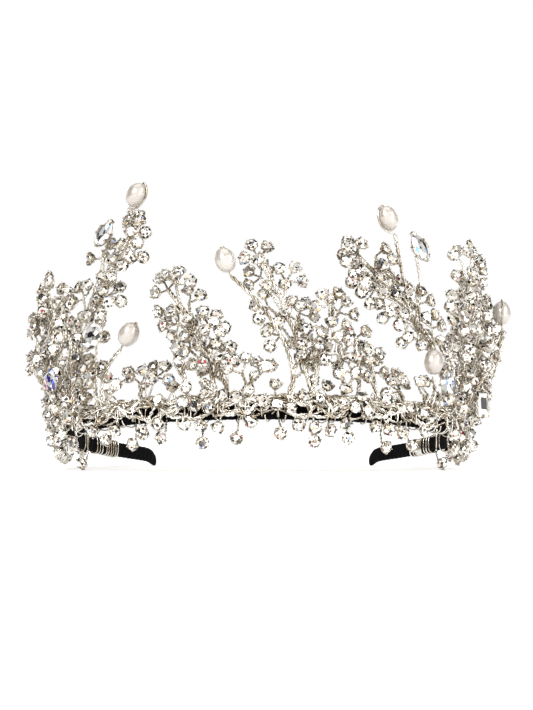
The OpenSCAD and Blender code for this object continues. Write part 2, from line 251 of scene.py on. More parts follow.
# The twisted wires: how many strands, how far off their path, the length of one turn, and
# a strand's radius and sides.
twists = {
    "vine": (2, 0.36, 4.4, 0.368, 5), "stem": (3, 0.42, 4.8, 0.34, 6), "twig": (2, 0.32, 2.8, 0.29, 5),
    "runner": (2, 0.22, 3.2, 0.24, 6), "pearlStem": (2, 0.36, 4.6, 0.34, 6),
    "largeStem": (2, 0.26, 4, 0.28, 6),
}


def twistedWire(paths, kind):
    count, offset, pitch, wire, sides = twists[kind]
    return tubes(wind(paths, count, offset, pitch), wire, sides)


# Copies of a template: its x, y and z go along two directions square to each axis and along
# the axis itself, times a size, at each spot.
def stamp(template, spots, axes, size, spins):
    points, groups = template
    axes = unit(axes)
    lean = np.where(np.abs(axes[:, 2:]) < 0.9, np.array((0, 0, 1.0)), np.array((1.0, 0, 0)))
    right = unit(np.cross(lean, axes))
    upward = np.cross(axes, right)
    cos, sin = np.cos(spins)[:, None], np.sin(spins)[:, None]
    basis = np.stack([cos * right + sin * upward, cos * upward - sin * right, axes], 1) * size
    placed = spots[:, None] + points @ basis
    shift = (np.arange(len(spots)) * len(points))[:, None, None]
    spread = [(group[None] + shift).reshape(-1, group.shape[1]) for group in groups]
    return placed.reshape(-1, 3), spread


# Rows of height and radius turned about z, closed at both ends.
def lathe(rows, sides):
    angle = 2 * np.pi * np.arange(sides) / sides
    rows = np.asarray(rows, float)
    circle = np.stack([np.cos(angle), np.sin(angle), 0 * angle], -1)
    points = rows[:, None, 1:] * circle + np.array((0, 0, 1.0)) * rows[:, None, :1]
    return points.reshape(-1, 3), ringFaces(len(rows), sides)


# A socket in a material. Sums on it add Math nodes, and add() makes any other node.
class Flow:
    def __init__(self, tree, socket=None):
        self.tree = tree
        self.socket = socket

    def add(self, kind, settings, inputs, output=0):
        node = self.tree.nodes.new(kind)
        for key, value in settings.items():
            if key == "stops":
                elements = node.color_ramp.elements
                while len(elements) < len(value):
                    elements.new(0.5)
                for element, (spot, colour) in zip(elements, value):
                    element.position = spot
                    element.color = (*colour, 1)
            else:
                setattr(node, key, value)
        for key, value in inputs.items():
            if isinstance(value, Flow):
                self.tree.links.new(value.socket, node.inputs[key])
            else:
                node.inputs[key].default_value = value
        return Flow(self.tree, node.outputs[output])

    def join(self, operation, first, second):
        return self.add("ShaderNodeMath", {"operation": operation}, {0: first, 1: second})

    def __add__(self, other):
        return self.join("ADD", self, other)

    def __radd__(self, other):
        return self.join("ADD", other, self)

    def __sub__(self, other):
        return self.join("SUBTRACT", self, other)

    def __rsub__(self, other):
        return self.join("SUBTRACT", other, self)

    def __mul__(self, other):
        return self.join("MULTIPLY", self, other)

    def __rmul__(self, other):
        return self.join("MULTIPLY", other, self)


# A material with one main shader: fixed sockets first, then what varies.
def newFinish(name, fixed):
    finish = bpy.data.materials.new(name)
    finish.use_nodes = True
    tree = finish.node_tree
    shader = tree.nodes["Principled BSDF"]
    for key, value in fixed.items():
        shader.inputs[key].default_value = value
    return finish, shader, Flow(tree)


# Links what varies over the surface to the shader.
def feed(shader, values):
    for key, value in values.items():
        value.tree.links.new(value.socket, shader.inputs[key])


# A pattern from 0 up over the piece's own coordinates: soft noise, or cells.
def noise(flow, scale, detail=2):
    spot = flow.add("ShaderNodeTexCoord", {}, {}, "Object")
    return flow.add("ShaderNodeTexNoise", {}, {"Vector": spot, "Scale": scale, "Detail": detail}, "Fac")


def cells(flow, scale):
    spot = flow.add("ShaderNodeTexCoord", {}, {}, "Object")
    return flow.add("ShaderNodeTexVoronoi", {}, {"Vector": spot, "Scale": scale}, "Distance")


# A colour from stops along a factor.
def ramp(flow, stops, factor):
    return flow.add("ShaderNodeValToRGB", {"stops": stops}, {"Fac": factor}, "Color")


# The surface's direction over a fine relief.
def bump(flow, height, strength, distance):
    return flow.add(
        "ShaderNodeBump", {}, {"Height": height, "Strength": strength, "Distance": distance}, "Normal",
    )


silver = {
    "fixed": {"Metallic": 1.0},
    "bright": ((0.42, (0.92, 0.9, 0.85)), (0.6, (0.46, 0.4, 0.32))),
    # The darker copy is painted shade for wires that stand free before the bright room.
    "shaded": ((0.42, (0.77, 0.735, 0.67)), (0.6, (0.34, 0.29, 0.22))),
    "patchScale": 200, "patchDetail": 3, "grainScale": 800,
    "rough": (0.1, 0.22), "bump": (0.15, 0.00002),
}


# Silver with warmer, darker patches at random: uneven tone, and painted shade that stands in for the
# dark edges along the wires. It is polished unevenly, with a fine grain.
def silverFinish(name, stops):
    finish, shader, flow = newFinish(name, silver["fixed"])
    patches = noise(flow, silver["patchScale"], silver["patchDetail"])
    feed(shader, {
        "Base Color": ramp(flow, stops, patches),
        "Roughness": mix(*silver["rough"], patches),
        "Normal": bump(flow, noise(flow, silver["grainScale"]), *silver["bump"]),
    })
    return finish


crystal = {
    "fixed": {"Metallic": 0.55, "IOR": 1.9, "Coat Weight": 0.6, "Coat Roughness": 0.02},
    "rough": (0.08, 0.14), "hazeScale": 900,
}


# Foil-backed crystal: each facet has the tone that its mesh carries, painted reflections and painted
# shade of the cut, under a clear coat.
def crystalFinish(name):
    finish, shader, flow = newFinish(name, crystal["fixed"])
    feed(shader, {
        "Base Color": flow.add("ShaderNodeAttribute", {"attribute_name": "facet"}, {}, "Color"),
        "Roughness": mix(*crystal["rough"], noise(flow, crystal["hazeScale"])),
    })
    return finish


nacre = {
    "fixed": {
        "Metallic": 0.15, "Coat Weight": 1.0, "Coat Roughness": 0.19, "Coat IOR": 2.3, "IOR": 1.6,
        "Sheen Weight": 0.3, "Sheen Roughness": 0.3, "Sheen Tint": (1, 0.94, 0.88, 1),
    },
    "stops": (
        (0.3, (0.535, 0.506, 0.462)), (0.5, (0.495, 0.456, 0.412)), (0.75, (0.42, 0.372, 0.328)),
    ),
    "cloudScale": 60, "rough": (0.3, 0.38),
}


# Nacre: pale, cream and blush clouds under a soft coat.
def pearlFinish():
    finish, shader, flow = newFinish("pearlNacre", nacre["fixed"])
    cloud = noise(flow, nacre["cloudScale"])
    feed(shader, {
        "Base Color": ramp(flow, nacre["stops"], cloud),
        "Roughness": mix(*nacre["rough"], cloud),
    })
    return finish


ribbon = {
    "fixed": {"Sheen Weight": 0.02, "Sheen Roughness": 0.5, "IOR": 1.14},
    "stops": ((0.35, (0.001, 0.001, 0.0011)), (0.75, (0.005, 0.005, 0.0055))),
    "threadScale": 2600, "fuzzScale": 500, "fuzzDetail": 4,
    "rough": (0.75, 0.95), "bump": (0.6, 0.00012),
}


# Matt black ribbon with a fine weave and a little fuzz.
def ribbonFinish():
    finish, shader, flow = newFinish("blackRibbon", ribbon["fixed"])
    weave = cells(flow, ribbon["threadScale"])
    fuzz = noise(flow, ribbon["fuzzScale"], ribbon["fuzzDetail"])
    feed(shader, {
        "Base Color": ramp(flow, ribbon["stops"], fuzz),
        "Roughness": mix(*ribbon["rough"], fuzz),
        "Normal": bump(flow, weave + fuzz, *ribbon["bump"]),
    })
    return finish


silverWire = silverFinish("silverWire", silver["bright"])
# The shaded copy: the same silver, darker all over, painted shade for wires that stand free before the
# bright room.
shadedWire = silverFinish("shadedWire", silver["shaded"])  # for wires that stand free before the room
cutCrystal = crystalFinish("cutCrystal")
violetCrystal = crystalFinish("violetCrystal")
pearlNacre = pearlFinish()
blackRibbon = ribbonFinish()
print("finishes made")

# The ribbon's lap: how far one turn of it covers, how high its edge stands, how it slants,
# and the shares of a turn over which it rises and falls.
lap = {"pitch": 2.5, "edge": 0.14, "slant": 0.9, "ramp": (0.85, 0.15), "ringStep": 0.3, "sides": 40}
# Rings of a tip: how far along from its end, share of the height, and sag.
tipRows = (
    (-7, 1, 0), (-4.2, 0.98, -0.25), (-2.4, 0.94, -0.8),
    (-1, 0.82, -1.5), (-0.2, 0.6, -2.2), (0, 0.36, -2.6),
)


# The wrapped strip: a squared oval section carried along the band. The ribbon's lap lowers
# the surface by a ramp that starts again each pitch.
def ribbonBand():
    half = band["half"]
    along = np.arange(-half, half + 0.01, lap["ringStep"])
    ends, shares, sags = np.array(tipRows, float).T
    share = np.interp(np.abs(along) - half, ends, shares)[:, None]
    sag = np.interp(np.abs(along) - half, ends, sags)[:, None]
    angle = 2 * np.pi * np.arange(lap["sides"]) / lap["sides"]
    wide, tall = squareTurn(angle, band["square"])
    spiral = np.mod((along[:, None] + lap["slant"] * np.sin(angle)) / lap["pitch"], 1)
    rising, falling = lap["ramp"]
    step = lap["edge"] * (np.minimum(spiral / rising, (1 - spiral) / falling) - 1)
    out = wide * (band["thick"] / 2 * share**0.4 + step * share)
    up = sag + tall * (band["height"] / 2 * share + step * share)
    return placeAll(along[:, None], out, up).reshape(-1, 3), ringFaces(*out.shape)


joinPiece("ribbonBand", [ribbonBand()], blackRibbon, ["ribbon_band"])
print("ribbon band wrapped")

# The vine: strands that weave over the band's front and upper edge. Their angle is taken
# round the band's section from straight out (0) to straight up (90). A pace is a base and
# how far it plays, and off is how far the strands lie off the band.
vine = {
    "strands": 18, "twisted": 5, "reach": 127, "step": 0.7, "wire": 0.46,
    "angles": (12, 112), "sway": 36, "swayPace": (0.2, 0.08), "ripple": 0.2, "ripplePace": (0.8, 0.2),
    "off": (0.3, 2.7), "offLeast": 0.25, "offPace": 0.21,
}


# A strand's angle is its middle plus two sines of the place along; its distance off the
# band is a mean plus a sine. The oval section turns both into out and up.
def vineStrands():
    number = np.arange(vine["strands"])[:, None]
    along = np.arange(-vine["reach"], vine["reach"], vine["step"])[None]
    slow = vine["swayPace"][0] + vine["swayPace"][1] * wobble(number + 2)
    quick = vine["ripplePace"][0] + vine["ripplePace"][1] * wobble(number + 5)
    angle = mix(*vine["angles"], (number + 0.5) / vine["strands"])
    angle = angle + vine["sway"] * np.sin(slow * along + 9 * wobble(number + 1))
    angle = angle + vine["ripple"] * vine["sway"] * np.sin(quick * along + 7 * wobble(number + 3))
    off = 0.5 + 0.5 * np.sin((slow + vine["offPace"]) * along + 5 * wobble(number + 8))
    off = mix(*vine["off"], off) + vine["offLeast"]
    wide, tall = squareTurn(np.radians(angle), band["square"])
    out = wide * (band["thick"] / 2 + off)
    up = tall * (band["height"] / 2 + off)
    return placeAll(along, out, up)


# Loose curls: how far the last starts before the vine's end, how far they play along, their
# width, lift, foot, and belly with its play. Each row of the shape has shares of the width
# along, of the belly out and of the lift up.
curl = {
    "count": 46, "short": 6, "play": 2,
    "wide": (2.5, 7), "lift": (0.6, 4.4), "foot": (2.2, 1.4), "belly": (1, 0.9),
    "shape": ((0, 0, 0), (0.08, 0.8, 0.6), (0.55, 1, 1), (0.96, 0.9, 0.5), (1, 0, -0.3)),
    "wire": 0.3, "points": 20,
}
# The open wire loop left of the middle: along, out and up.
openLoop = (
    (-39, 2.4, 1), (-38.6, 3, 6), (-38.4, 3.4, 10.4), (-36.8, 3.6, 12.6),
    (-35.3, 3.6, 11), (-36.6, 3.4, 7.4), (-38, 3, 5),
)


# Loose curls over the vine's upper edge: each leaves the vine, stands up by its lift in the
# middle of its width, and goes back.
def vineCurls():
    number = np.arange(curl["count"])[:, None]
    share = (number + 0.5) / curl["count"]
    start = mix(-vine["reach"], vine["reach"] - curl["short"], share)
    start = start + curl["play"] * wobble(number + 4)
    alongShare, outShare, upShare = np.array(curl["shape"]).T
    footOut, footUp = curl["foot"]
    belly, play = curl["belly"]
    along = start + between(curl["wide"], number + 9) * alongShare
    out = footOut + (belly + play * wobble(number + 6)) * outShare
    up = footUp + (between(curl["lift"], 2 * number + 3) + footUp) * upShare
    return place(smoothPath(np.stack([along, out, up], -1), curl["points"]))


strands = vineStrands()
joinPiece("vineWire", [
    tubes(strands[vine["twisted"]:], vine["wire"], 6),
    twistedWire(strands[:vine["twisted"]], "vine"),
    tubes(vineCurls(), curl["wire"], 5),
    tubes(place(smoothPath(openLoop, 40)), curl["wire"], 6),
], silverWire, ["vine_wire"])

# Turns of wire round the band: how far behind and above its middle they run, how square
# they are, and the angle at which they start.
turnWire = {"behind": 1.75, "over": 3.25, "square": 0.6, "start": -0.5, "wire": 0.26, "points": 34}


# Each turn goes round a squared oval whose front reaches the given distance, while it moves
# along by the slant.
def turnsOfWire(places, front, slants, turns=1.04, over=turnWire["over"], wire=turnWire["wire"]):
    places = np.asarray(places, float)[:, None]
    slants = np.broadcast_to(np.asarray(slants, float), places.shape[:1])[:, None]
    start = turnWire["start"]
    angle = np.linspace(start, 2 * np.pi * turns + start, int(turnWire["points"] * turns))[None]
    wide, tall = squareTurn(angle, turnWire["square"])
    out = (front - turnWire["behind"]) / 2 + (front + turnWire["behind"]) / 2 * wide
    along = places + slants * (angle / (2 * np.pi) - 0.5)
    return tubes(placeAll(along, out, over * tall), wire, 5)


# Wraps along the front: the frame's own, and looser ones beside them and at the sides.
wraps = {
    "first": -49.5, "step": 12, "count": 10, "ends": (-70.5, 70.5), "front": 3.5, "slant": 3,
    "beside": (4.3, 7.8), "sides": (-62, -58, 67, -76, 76, -88, 88, -97, 97, -108, 108, -119, 119),
    "looseFront": 3.9, "looseOver": 3.6, "looseSlant": 7,
}
rowWraps = wraps["first"] + wraps["step"] * np.arange(wraps["count"])
ownWraps = np.concatenate([rowWraps, wraps["ends"]])
moreWraps = np.concatenate([rowWraps + shift for shift in wraps["beside"]] + [wraps["sides"]])
looseSlants = wraps["looseSlant"] * wobble(3 * moreWraps)
joinPiece("frontWraps", [
    turnsOfWire(ownWraps, wraps["front"], wraps["slant"] * wobble(ownWraps)),
    turnsOfWire(moreWraps, wraps["looseFront"], looseSlants, over=wraps["looseOver"]),
], silverWire, ["front_wraps"])

# Where the turns of the bindings stand on each side and how far they slant, and the close
# coil of the right side.
bindings = {
    "left": (-129, -131.2, -133, -136, -137.4, -139, -140.5, -142, -143.5), "leftSlant": 1.5,
    "right": (128, 130, 132, 139.4, 141.5), "rightSlant": 1.2,
    "coilStart": 133.8, "coilTurns": 8, "coilPitch": 0.56, "front": 1.66, "over": 3.05, "wire": 0.33,
}


# One side's turns near the end of the wired part.
def bindingTurns(places, slant):
    slants = slant * wobble(np.arange(len(places)))
    return turnsOfWire(places, bindings["front"], slants, over=bindings["over"], wire=bindings["wire"])


joinPiece("leftBinding", [
    bindingTurns(bindings["left"], bindings["leftSlant"]),
], silverWire, ["left_binding"])
joinPiece("rightBinding", [
    bindingTurns(bindings["right"], bindings["rightSlant"]),
    turnsOfWire([bindings["coilStart"] + bindings["coilPitch"] / 2], bindings["front"],
                bindings["coilPitch"], bindings["coilTurns"], bindings["over"]),
], silverWire, ["right_binding"])
print("vine, wraps and bindings wound")

# A round crystal: its girdle is 1 from the middle, and facets stand in rings of eight.
cut = {"inner": 0.27, "table": 0.58, "star": 0.8, "tableRise": 0.36, "starRise": 0.23}


# The brilliant's crown: an inner and a table ring, star points half a step round, a girdle
# of sixteen, and a flat bottom.
def brilliant():
    step = 2 * np.pi / 16

    def ring(radius, rise, turns):
        angle = step * turns
        return np.stack([radius * np.cos(angle), radius * np.sin(angle), np.full(len(turns), rise)], -1)

    even = np.arange(0, 16, 2)
    points = np.concatenate([
        ring(cut["inner"], cut["tableRise"], even + 1),
        ring(cut["table"], cut["tableRise"], even),
        ring(cut["star"], cut["starRise"], even + 1),
        ring(1, 0, np.arange(16)),
    ])
    k = np.arange(8)
    after, before = (k + 1) % 8, (k - 1) % 8
    inner, table, star, girdle = 0, 8, 16, 24
    threes = np.concatenate([
        np.stack([table + k, table + after, inner + k], -1),
        np.stack([inner + before, table + k, inner + k], -1),
        np.stack([table + k, star + k, table + after], -1),
        np.stack([star + k, girdle + 2 * k, girdle + 2 * k + 1], -1),
        np.stack([star + k, girdle + 2 * k + 1, girdle + (2 * k + 2) % 16], -1),
    ])
    kites = np.stack([table + k, star + before, girdle + 2 * k, star + k], -1)
    bottom = girdle + np.arange(16)[None, ::-1]
    return points, [threes, kites, k[None], bottom]


# Painted reflections in the facets: silver whites, foil greys, warm beiges, blacks and a rare flash.
# The shares say how often each comes round the table and at the girdle, where the dark ones are painted
# shade round the rim.
paintedFacetTones = np.array((
    (1.0, 0.99, 0.96), (0.92, 0.89, 0.83), (0.78, 0.71, 0.6), (0.55, 0.46, 0.33), (0.4, 0.33, 0.24),
    (0.12, 0.09, 0.06), (0.008, 0.007, 0.006), (0.35, 0.48, 0.8), (0.4, 0.03, 0.05), (0.8, 0.6, 0.35),
))
tableShares = np.array((0.48, 0.12, 0.08, 0.03, 0.03, 0.05, 0.18, 0.01, 0.01, 0.01))
rimShadeShares = np.array((0.19, 0.1, 0.1, 0.12, 0.09, 0.17, 0.2, 0.008, 0.008, 0.014))
tonePlay = (0.88, 1.0)  # by what a facet's tone is dimmed
# Stones with a painted dark reflection in the table: their share of all, by what their table's facets
# are dimmed, and the tone of their middle.
paintedDarkTable = {"share": 0.05, "dim": (0.02, 0.5), "tableFaces": 16, "middle": 0.1}
brilliantCut = brilliant()
brilliantFaces = sum(len(group) for group in brilliantCut[1])
rimFaces = np.arange(24, 48)  # those that reach the girdle
shuffle = np.random.default_rng(11)


# A painted tone for each facet of each stone: reflections round the table, shade at the girdle.
def facetShades(stoneCount):
    faces = (stoneCount, brilliantFaces)
    picks = shuffle.choice(len(paintedFacetTones), faces, p=tableShares)
    rim = shuffle.choice(len(paintedFacetTones), faces, p=rimShadeShares)
    picks[:, rimFaces] = rim[:, rimFaces]
    shades = paintedFacetTones[picks] * shuffle.uniform(*tonePlay, (*faces, 1))
    dark = shuffle.uniform(0, 1, stoneCount) < paintedDarkTable["share"]
    dimmed = paintedDarkTable["tableFaces"]
    shades[dark, :dimmed] *= shuffle.uniform(*paintedDarkTable["dim"], (dark.sum(), dimmed, 1))
    shades[dark, -2] = paintedDarkTable["middle"]
    return shades


# Shades in the order of the joined faces: all stones' faces of the first group, and so on.
def groupShades(shades, groups):
    ordered = []
    start = 0
    for group in groups:
        ordered.append(shades[:, start:start + len(group)].reshape(-1, 3))
        start += len(group)
    return np.concatenate(ordered)


# A claw's path as distance from the axis and height, and its thickness there; then the
# cup's rows of height and radius.
claw = {"count": 5, "path": ((1.8, -0.8), (2.02, 0.3), (1.64, 0.68)), "thick": (0.24, 0.26, 0.24)}
cupRows = ((-2.15, 0.3), (-1.75, 1.2), (-0.6, 1.9), (0.05, 2.02))


# The claw cup: a flared cup of rows turned about its axis, and claws that bend in over the
# girdle.
def clawCup():
    turn = 2 * np.pi * np.arange(claw["count"])[:, None] / claw["count"]
    reach, height = np.array(claw["path"]).T
    paths = np.stack([np.cos(turn) * reach, np.sin(turn) * reach, height + 0 * turn], -1)
    return mergeParts([lathe(cupRows, 7), tubes(paths, claw["thick"], 3)])


clawSetting = clawCup()
# A set stone: its radius, the cup's size, how far it rises in the cup, and its stalk.
stone = {
    "radius": 2.2, "cup": 1.12, "rise": 0.06, "spin": 0.3, "cupFoot": 2.3,
    "stalk": 4.8, "stalkPlay": 0.4, "stalkWire": 0.35, "stalkPoints": 8, "lobes": 0.42, "pitch": 2.4,
    "bendShare": 0.6, "bendBack": 0.5,
}


# Rows as dictionaries, with a key for each column.
def named(keys, rows):
    return [dict(zip(keys.split(), row)) for row in rows]


# The sprays, each with the frame's own numbers: foot and tip along the band, tip height,
# lean out, bow, first twig's share, twigs, reach low and high, first side. More is how many
# twigs are added between the frame's own.
sprayKeys = "foot tip height lean bow first twigs reachLow reachHigh side more"
sprayRows = {
    "sprayA": ((-84, -43, 62, 3, 1.2, 0.42, 3, 4.5, 4.2, -1, 20),),
    "sprayB": ((-15, -30, 41, 3, 2, 0.3, 4, 5.5, 4.6, 1, 10),),
    "sprayC": ((16, -1, 50, 4, 1.5, 0.34, 5, 5.5, 5, 1, 13),),
    "sprayD": ((82, 31, 52, 3, 1.2, 0.5, 4, 4.6, 4.4, 1, 20),),
    "sprayE": ((89, 83, 60, 6, 1, 0.32, 3, 4.5, 4.2, 1, 18),),
    "sprayF": ((108, 106, 46, 11, 1, 0.34, 3, 4.5, 4.2, -1, 14),),
    "sprayG": ((-99, -96, 52, 6, 1, 0.3, 3, 4.5, 4.2, -1, 16),),
    "sprayH": ((-117, -115, 42, 11, 1, 0.34, 2, 4.5, 4.2, -1, 14),),
    "lowSprays": (
        (-66, -65, 13, 3, 1, 0.5, 0, 4, 4, 1, 2),
        (-41, -40, 10, 2, 1, 0.5, 0, 4, 4, 1, 2),
        (39.5, 35, 17, 3, 1, 0.5, 0, 4, 4, 1, 3),
        (51.5, 46, 8, 2, 1, 0.5, 0, 4, 4, 1, 2),
    ),
}
# Sprays that only the looks have: they fill the dense sides and the low front.
fillKeys = "foot tip height lean first side more"
fillRows = {
    "leftFill": (
        (-76, -73, 31, 3, 0.4, 1, 6),
        (-92, -89, 43, 4, 0.35, 1, 8),
        (-90, -92, 25, 7, 0.4, -1, 6),
        (-105, -104, 45, 8, 0.3, 1, 8),
        (-103, -106, 24, 9, 0.4, -1, 6),
        (-111, -110, 34, 7, 0.3, 1, 7),
        (-124, -123, 28, 9, 0.3, -1, 6),
        (-121, -119, 18, 6, 0.4, 1, 5),
        (-97, -98, 36, 11, 0.3, 1, 9),
        (-107, -109, 28, 11, 0.3, -1, 8),
        (-88, -87, 20, 11, 0.3, 1, 6),
    ),
    "rightFill": (
        (75, 73, 22, 3, 0.4, 1, 5),
        (96, 92, 50, 5, 0.3, 1, 9),
        (93, 94, 24, 8, 0.4, -1, 5),
        (102, 100, 41, 7, 0.3, 1, 8),
        (112, 113, 36, 8, 0.3, -1, 7),
        (110, 109, 22, 9, 0.4, 1, 5),
        (122, 121, 27, 9, 0.3, 1, 6),
        (118, 119, 17, 6, 0.4, -1, 5),
        (103, 101, 37, 14, 0.3, 1, 10),
        (107, 109, 27, 14, 0.3, -1, 8),
        (88, 87, 20, 10, 0.3, 1, 6),
    ),
    "frontFill": (
        (-54, -53, 9, 3, 0.5, 1, 2),
        (-24, -25, 17, 4, 0.5, -1, 3),
        (-9, -16, 20, 5, 0.4, -1, 4),
        (-4, -3, 12, 4, 0.5, 1, 2),
        (8, 11, 17, 3, 0.5, 1, 3),
        (15, 22, 34, 4, 0.5, 1, 7),
        (27, 24, 22, 5, 0.4, -1, 5),
        (33, 29, 24, 5, 0.5, 1, 3),
        (58, 57, 8, 3, 0.5, 1, 1),
    ),
}

sprays = {title: named(sprayKeys, rows) for title, rows in sprayRows.items()}
for title, rows in fillRows.items():
    sprays[title] = [dict(row, bow=1) for row in named(fillKeys, rows)]

stemFoot = (2.2, 1.5)  # out and up, where a stem leaves the band


# A point of a main stem: foot to tip along by the share to the power of bow, out by lean
# times the share to the power 1.5, and up evenly.
def stemAt(spray, share):
    share = np.asarray(share, float)
    out, up = stemFoot
    along = mix(spray["foot"], spray["tip"], share ** spray["bow"])
    return np.stack([along, out + spray["lean"] * share**1.5, mix(up, spray["height"], share)], -1)


# The stem's turn from upright at a share, from the points just before and after it.
def stemTurn(spray, share):
    step = stemAt(spray, share + 0.02) - stemAt(spray, share - 0.02)
    return math.atan2(step[0], step[2])


# A step of a reach at a turn from upright, and of a layer outwards.
def fan(reach, layer, turn):
    return np.array((reach * math.sin(turn), layer, reach * math.cos(turn)))


# A bunch's crystals stand on its middle at turns to each side, their faces outwards and
# turned away from the middle.
def bunchStones(middle, turn, layer, number, turns=(-62, 0, 62), facing=0.5, across=0):
    stones = []
    for k, angle in enumerate(turns):
        way = turn + math.radians(angle)
        length = stone["stalk"] + stone["stalkPlay"] * float(wobble(number * 3 + k + 8))
        face = fan(facing, 1, way) + (across, 0, 0)
        stones.append((middle + fan(length, layer, way), middle, face))
    return stones


# The bunch that ends a stem, turned as the stem is just below its tip.
def topBunch(spray, number):
    top = stemAt(spray, 1)
    return 1, top, bunchStones(top, stemTurn(spray, 0.97), 0, number)


# The frame's own twigs: their turn off the stem, the length kept free at its top, and the
# layers they stand in by turns.
ownTwig = {"turn": 55, "top": 13, "layers": (1.2, -1)}


# The frame's own bunches of a spray: a twig leaves the stem to each side by turns, and its
# middle lies the reach away; the last bunch ends the stem.
def ownTwigs(spray):
    twigs = []
    length = math.hypot(spray["tip"] - spray["foot"], spray["height"])
    for j in range(spray["twigs"]):
        share = mix(spray["first"], 1 - ownTwig["top"] / length, j / max(spray["twigs"] - 1, 1))
        side = spray["side"] * (1 if j % 2 == 0 else -1)
        layer = ownTwig["layers"][j // 2 % 2]
        turn = stemTurn(spray, share) + math.radians(ownTwig["turn"] * side)
        reach = mix(spray["reachLow"], spray["reachHigh"], share)
        middle = stemAt(spray, share) + fan(reach, layer, turn)
        twigs.append((share, middle, bunchStones(middle, turn, layer, j)))
    return twigs + [topBunch(spray, spray["twigs"])]


# Past this place the added crystals face across the band toward its front.
sideFacing = {"past": 66, "across": -1.1}


def faceAcross(along, side):
    return sideFacing["across"] * np.sign(side) * (abs(along) > sideFacing["past"])


# Added twigs: how far before the first one they start and where they end, their layers,
# turn and reach with their play, the turns of their crystals, and how far those face off.
addedTwig = {
    "before": 0.14, "end": 0.97, "layers": (2.9, -2.4, 0.9), "layerPlay": 0.5, "turn": (46, 24),
    "reach": (4.2, 1.6), "threes": (-70, -6, 58), "pairs": (-42, 42), "facing": 0.8,
}


# Added bunches: twigs between the frame's own, in three layers in front of and behind them.
# Every fourth one carries two crystals, the others three.
def addedTwigs(spray, seed):
    twigs = []
    for j in range(spray["more"]):
        wave = wobble(np.arange(4) + 7 * j + 13 * seed)
        share = mix(spray["first"] - addedTwig["before"], addedTwig["end"], (j + 0.5) / spray["more"])
        side = -spray["side"] * (1 if j % 2 == 0 else -1)
        layer = addedTwig["layers"][j % 3] + addedTwig["layerPlay"] * wave[0]
        turn, turnPlay = addedTwig["turn"]
        turn = stemTurn(spray, share) + math.radians((turn + turnPlay * wave[1]) * side)
        reach = addedTwig["reach"][0] + addedTwig["reach"][1] * wave[2]
        middle = stemAt(spray, share) + fan(reach, layer, turn)
        turns = addedTwig["threes"] if j % 4 else addedTwig["pairs"]
        across = faceAcross(middle[0], spray["foot"])
        stones = bunchStones(middle, turn, 0.5 * layer, j + seed, turns, addedTwig["facing"], across)
        twigs.append((share, middle, stones))
    return twigs


# Stems that ride up a spray's stem: the spray, from and to which share, how far off it, the
# points that follow, and how far below its piece the stem ends.
rides = {
    "pearlUpA": ("sprayA", 0.2, 1, (0, -1.45, 0), ((-43, 2.9, 66), (-42.8, 3.4, 68.8)), 0),
    "pearlUpD": ("sprayD", 0.25, 0.6, (0, -1.45, 0), ((47.5, 4.6, 47),), 0),
    "crystalUpA": ("sprayA", 0.48, 0.7, (-0.9, 1.2, 0.4), (), 0.9),
    "crystalUpD": ("sprayD", 0.48, 0.64, (0, 1.5, 0), ((53.5, 6, 44),), 0),
}

# The pearls: place along, out and up, lean of the hole, the stem's foot along the band or
# its ride, the stem's bend, and the side of the outer loop, or 0 for a small curl.
pearls = named("spot lean foot bend loop", (
    ((-41, 6, 74), 35, "pearlUpA", 0, 1),
    ((-44, 5, 27), 35, -56, -3, 0),
    ((-11, 8, 49), -20, 9, 4, 0),
    ((41, 6, 66), -25, "pearlUpD", 0, -1),
    ((100, 17, 44), 0, 101.5, 0, -1),
    ((58, 7, 19), 5, 60, 0, 0),
))
pearlSize = {
    "long": 8.6, "wide": 6.7, "rings": 22, "sides": 36, "pole": 0.04, "power": 0.94,
    "roundSwell": 0.014, "longSwell": 0.012,
}
# The larger crystals: the frame's node, place along, out and up, turn, width, length,
# outline, the stem's foot or ride, how far they face to the right for each step that they
# face out, and tones.
fancies = named("node spot turn wide long plan foot right tones", (
    ("pear_crystal_left", (-52, 8, 62), 40, 6.2, 9, "pear", "crystalUpA", 0, "clear"),
    ("pear_crystal_right", (51, 9, 57), -35, 6.4, 9.6, "pear", "crystalUpD", 0, "clear"),
    ("pear_crystal_low", (64, 8, 13), 5, 5.8, 9, "pear", 65, -0.4, "clear"),
    ("pear_crystal_violet", (-80, 9, 16), -8, 5, 8.6, "pear", -76, 0.9, "violet"),
    ("oval_crystal", (-57.5, 7, 28), 15, 7.4, 9, "oval", -60, 0.3, "deep"),
    ("baguette_crystal", (88, 10, 9), 0, 4.6, 8.8, "baguette", 97.5, -1.3, "deep"),
))


# A stem that follows a spray's main stem between two shares, moved off it, to its end.
def rideSpray(name, end):
    title, first, last, shift, more, drop = rides[name]
    spots = stemAt(sprays[title][0], np.linspace(first, last, 6)) + np.array(shift)
    spots = np.concatenate([spots, np.reshape(more, (-1, 3))])
    return np.concatenate([place(spots), [end - (0, 0, drop)]])


# How far below a pearl its stem meets the hole, and how high the stem's knee stands.
pearlStemShape = {"gap": 1.6, "kneeShare": 0.45, "points": 9, "smooth": 24}


# A pearl's stem: the two highest ride up their spray's stem, and the others rise from the
# band on a curve with one knee.
def pearlStem(pearl):
    _, out, up = pearl["spot"]
    reach = pearlSize["long"] / 2 + pearlStemShape["gap"]
    low = pearl["spot"] - fan(reach, 0, math.radians(pearl["lean"]))
    if pearl["foot"] in rides:
        return rideSpray(pearl["foot"], place(low))
    foot = (pearl["foot"], *stemFoot)
    knee = (pearl["foot"] + pearl["bend"], out, pearlStemShape["kneeShare"] * up)
    return place(kneeCurve(foot, knee, low, pearlStemShape["points"]))


# The room that an added stone leaves to a larger piece, a pearl's stem and another stone,
# the places before a piece that it leaves free, and its least height over the floor in
# metres.
clearance = {
    "piece": 5.6, "stem": 3.4, "stone": 4.2, "floor": 0.0028,
    "beforePiece": (0, 4, 8, 12), "beforeStem": (0, 4),
}

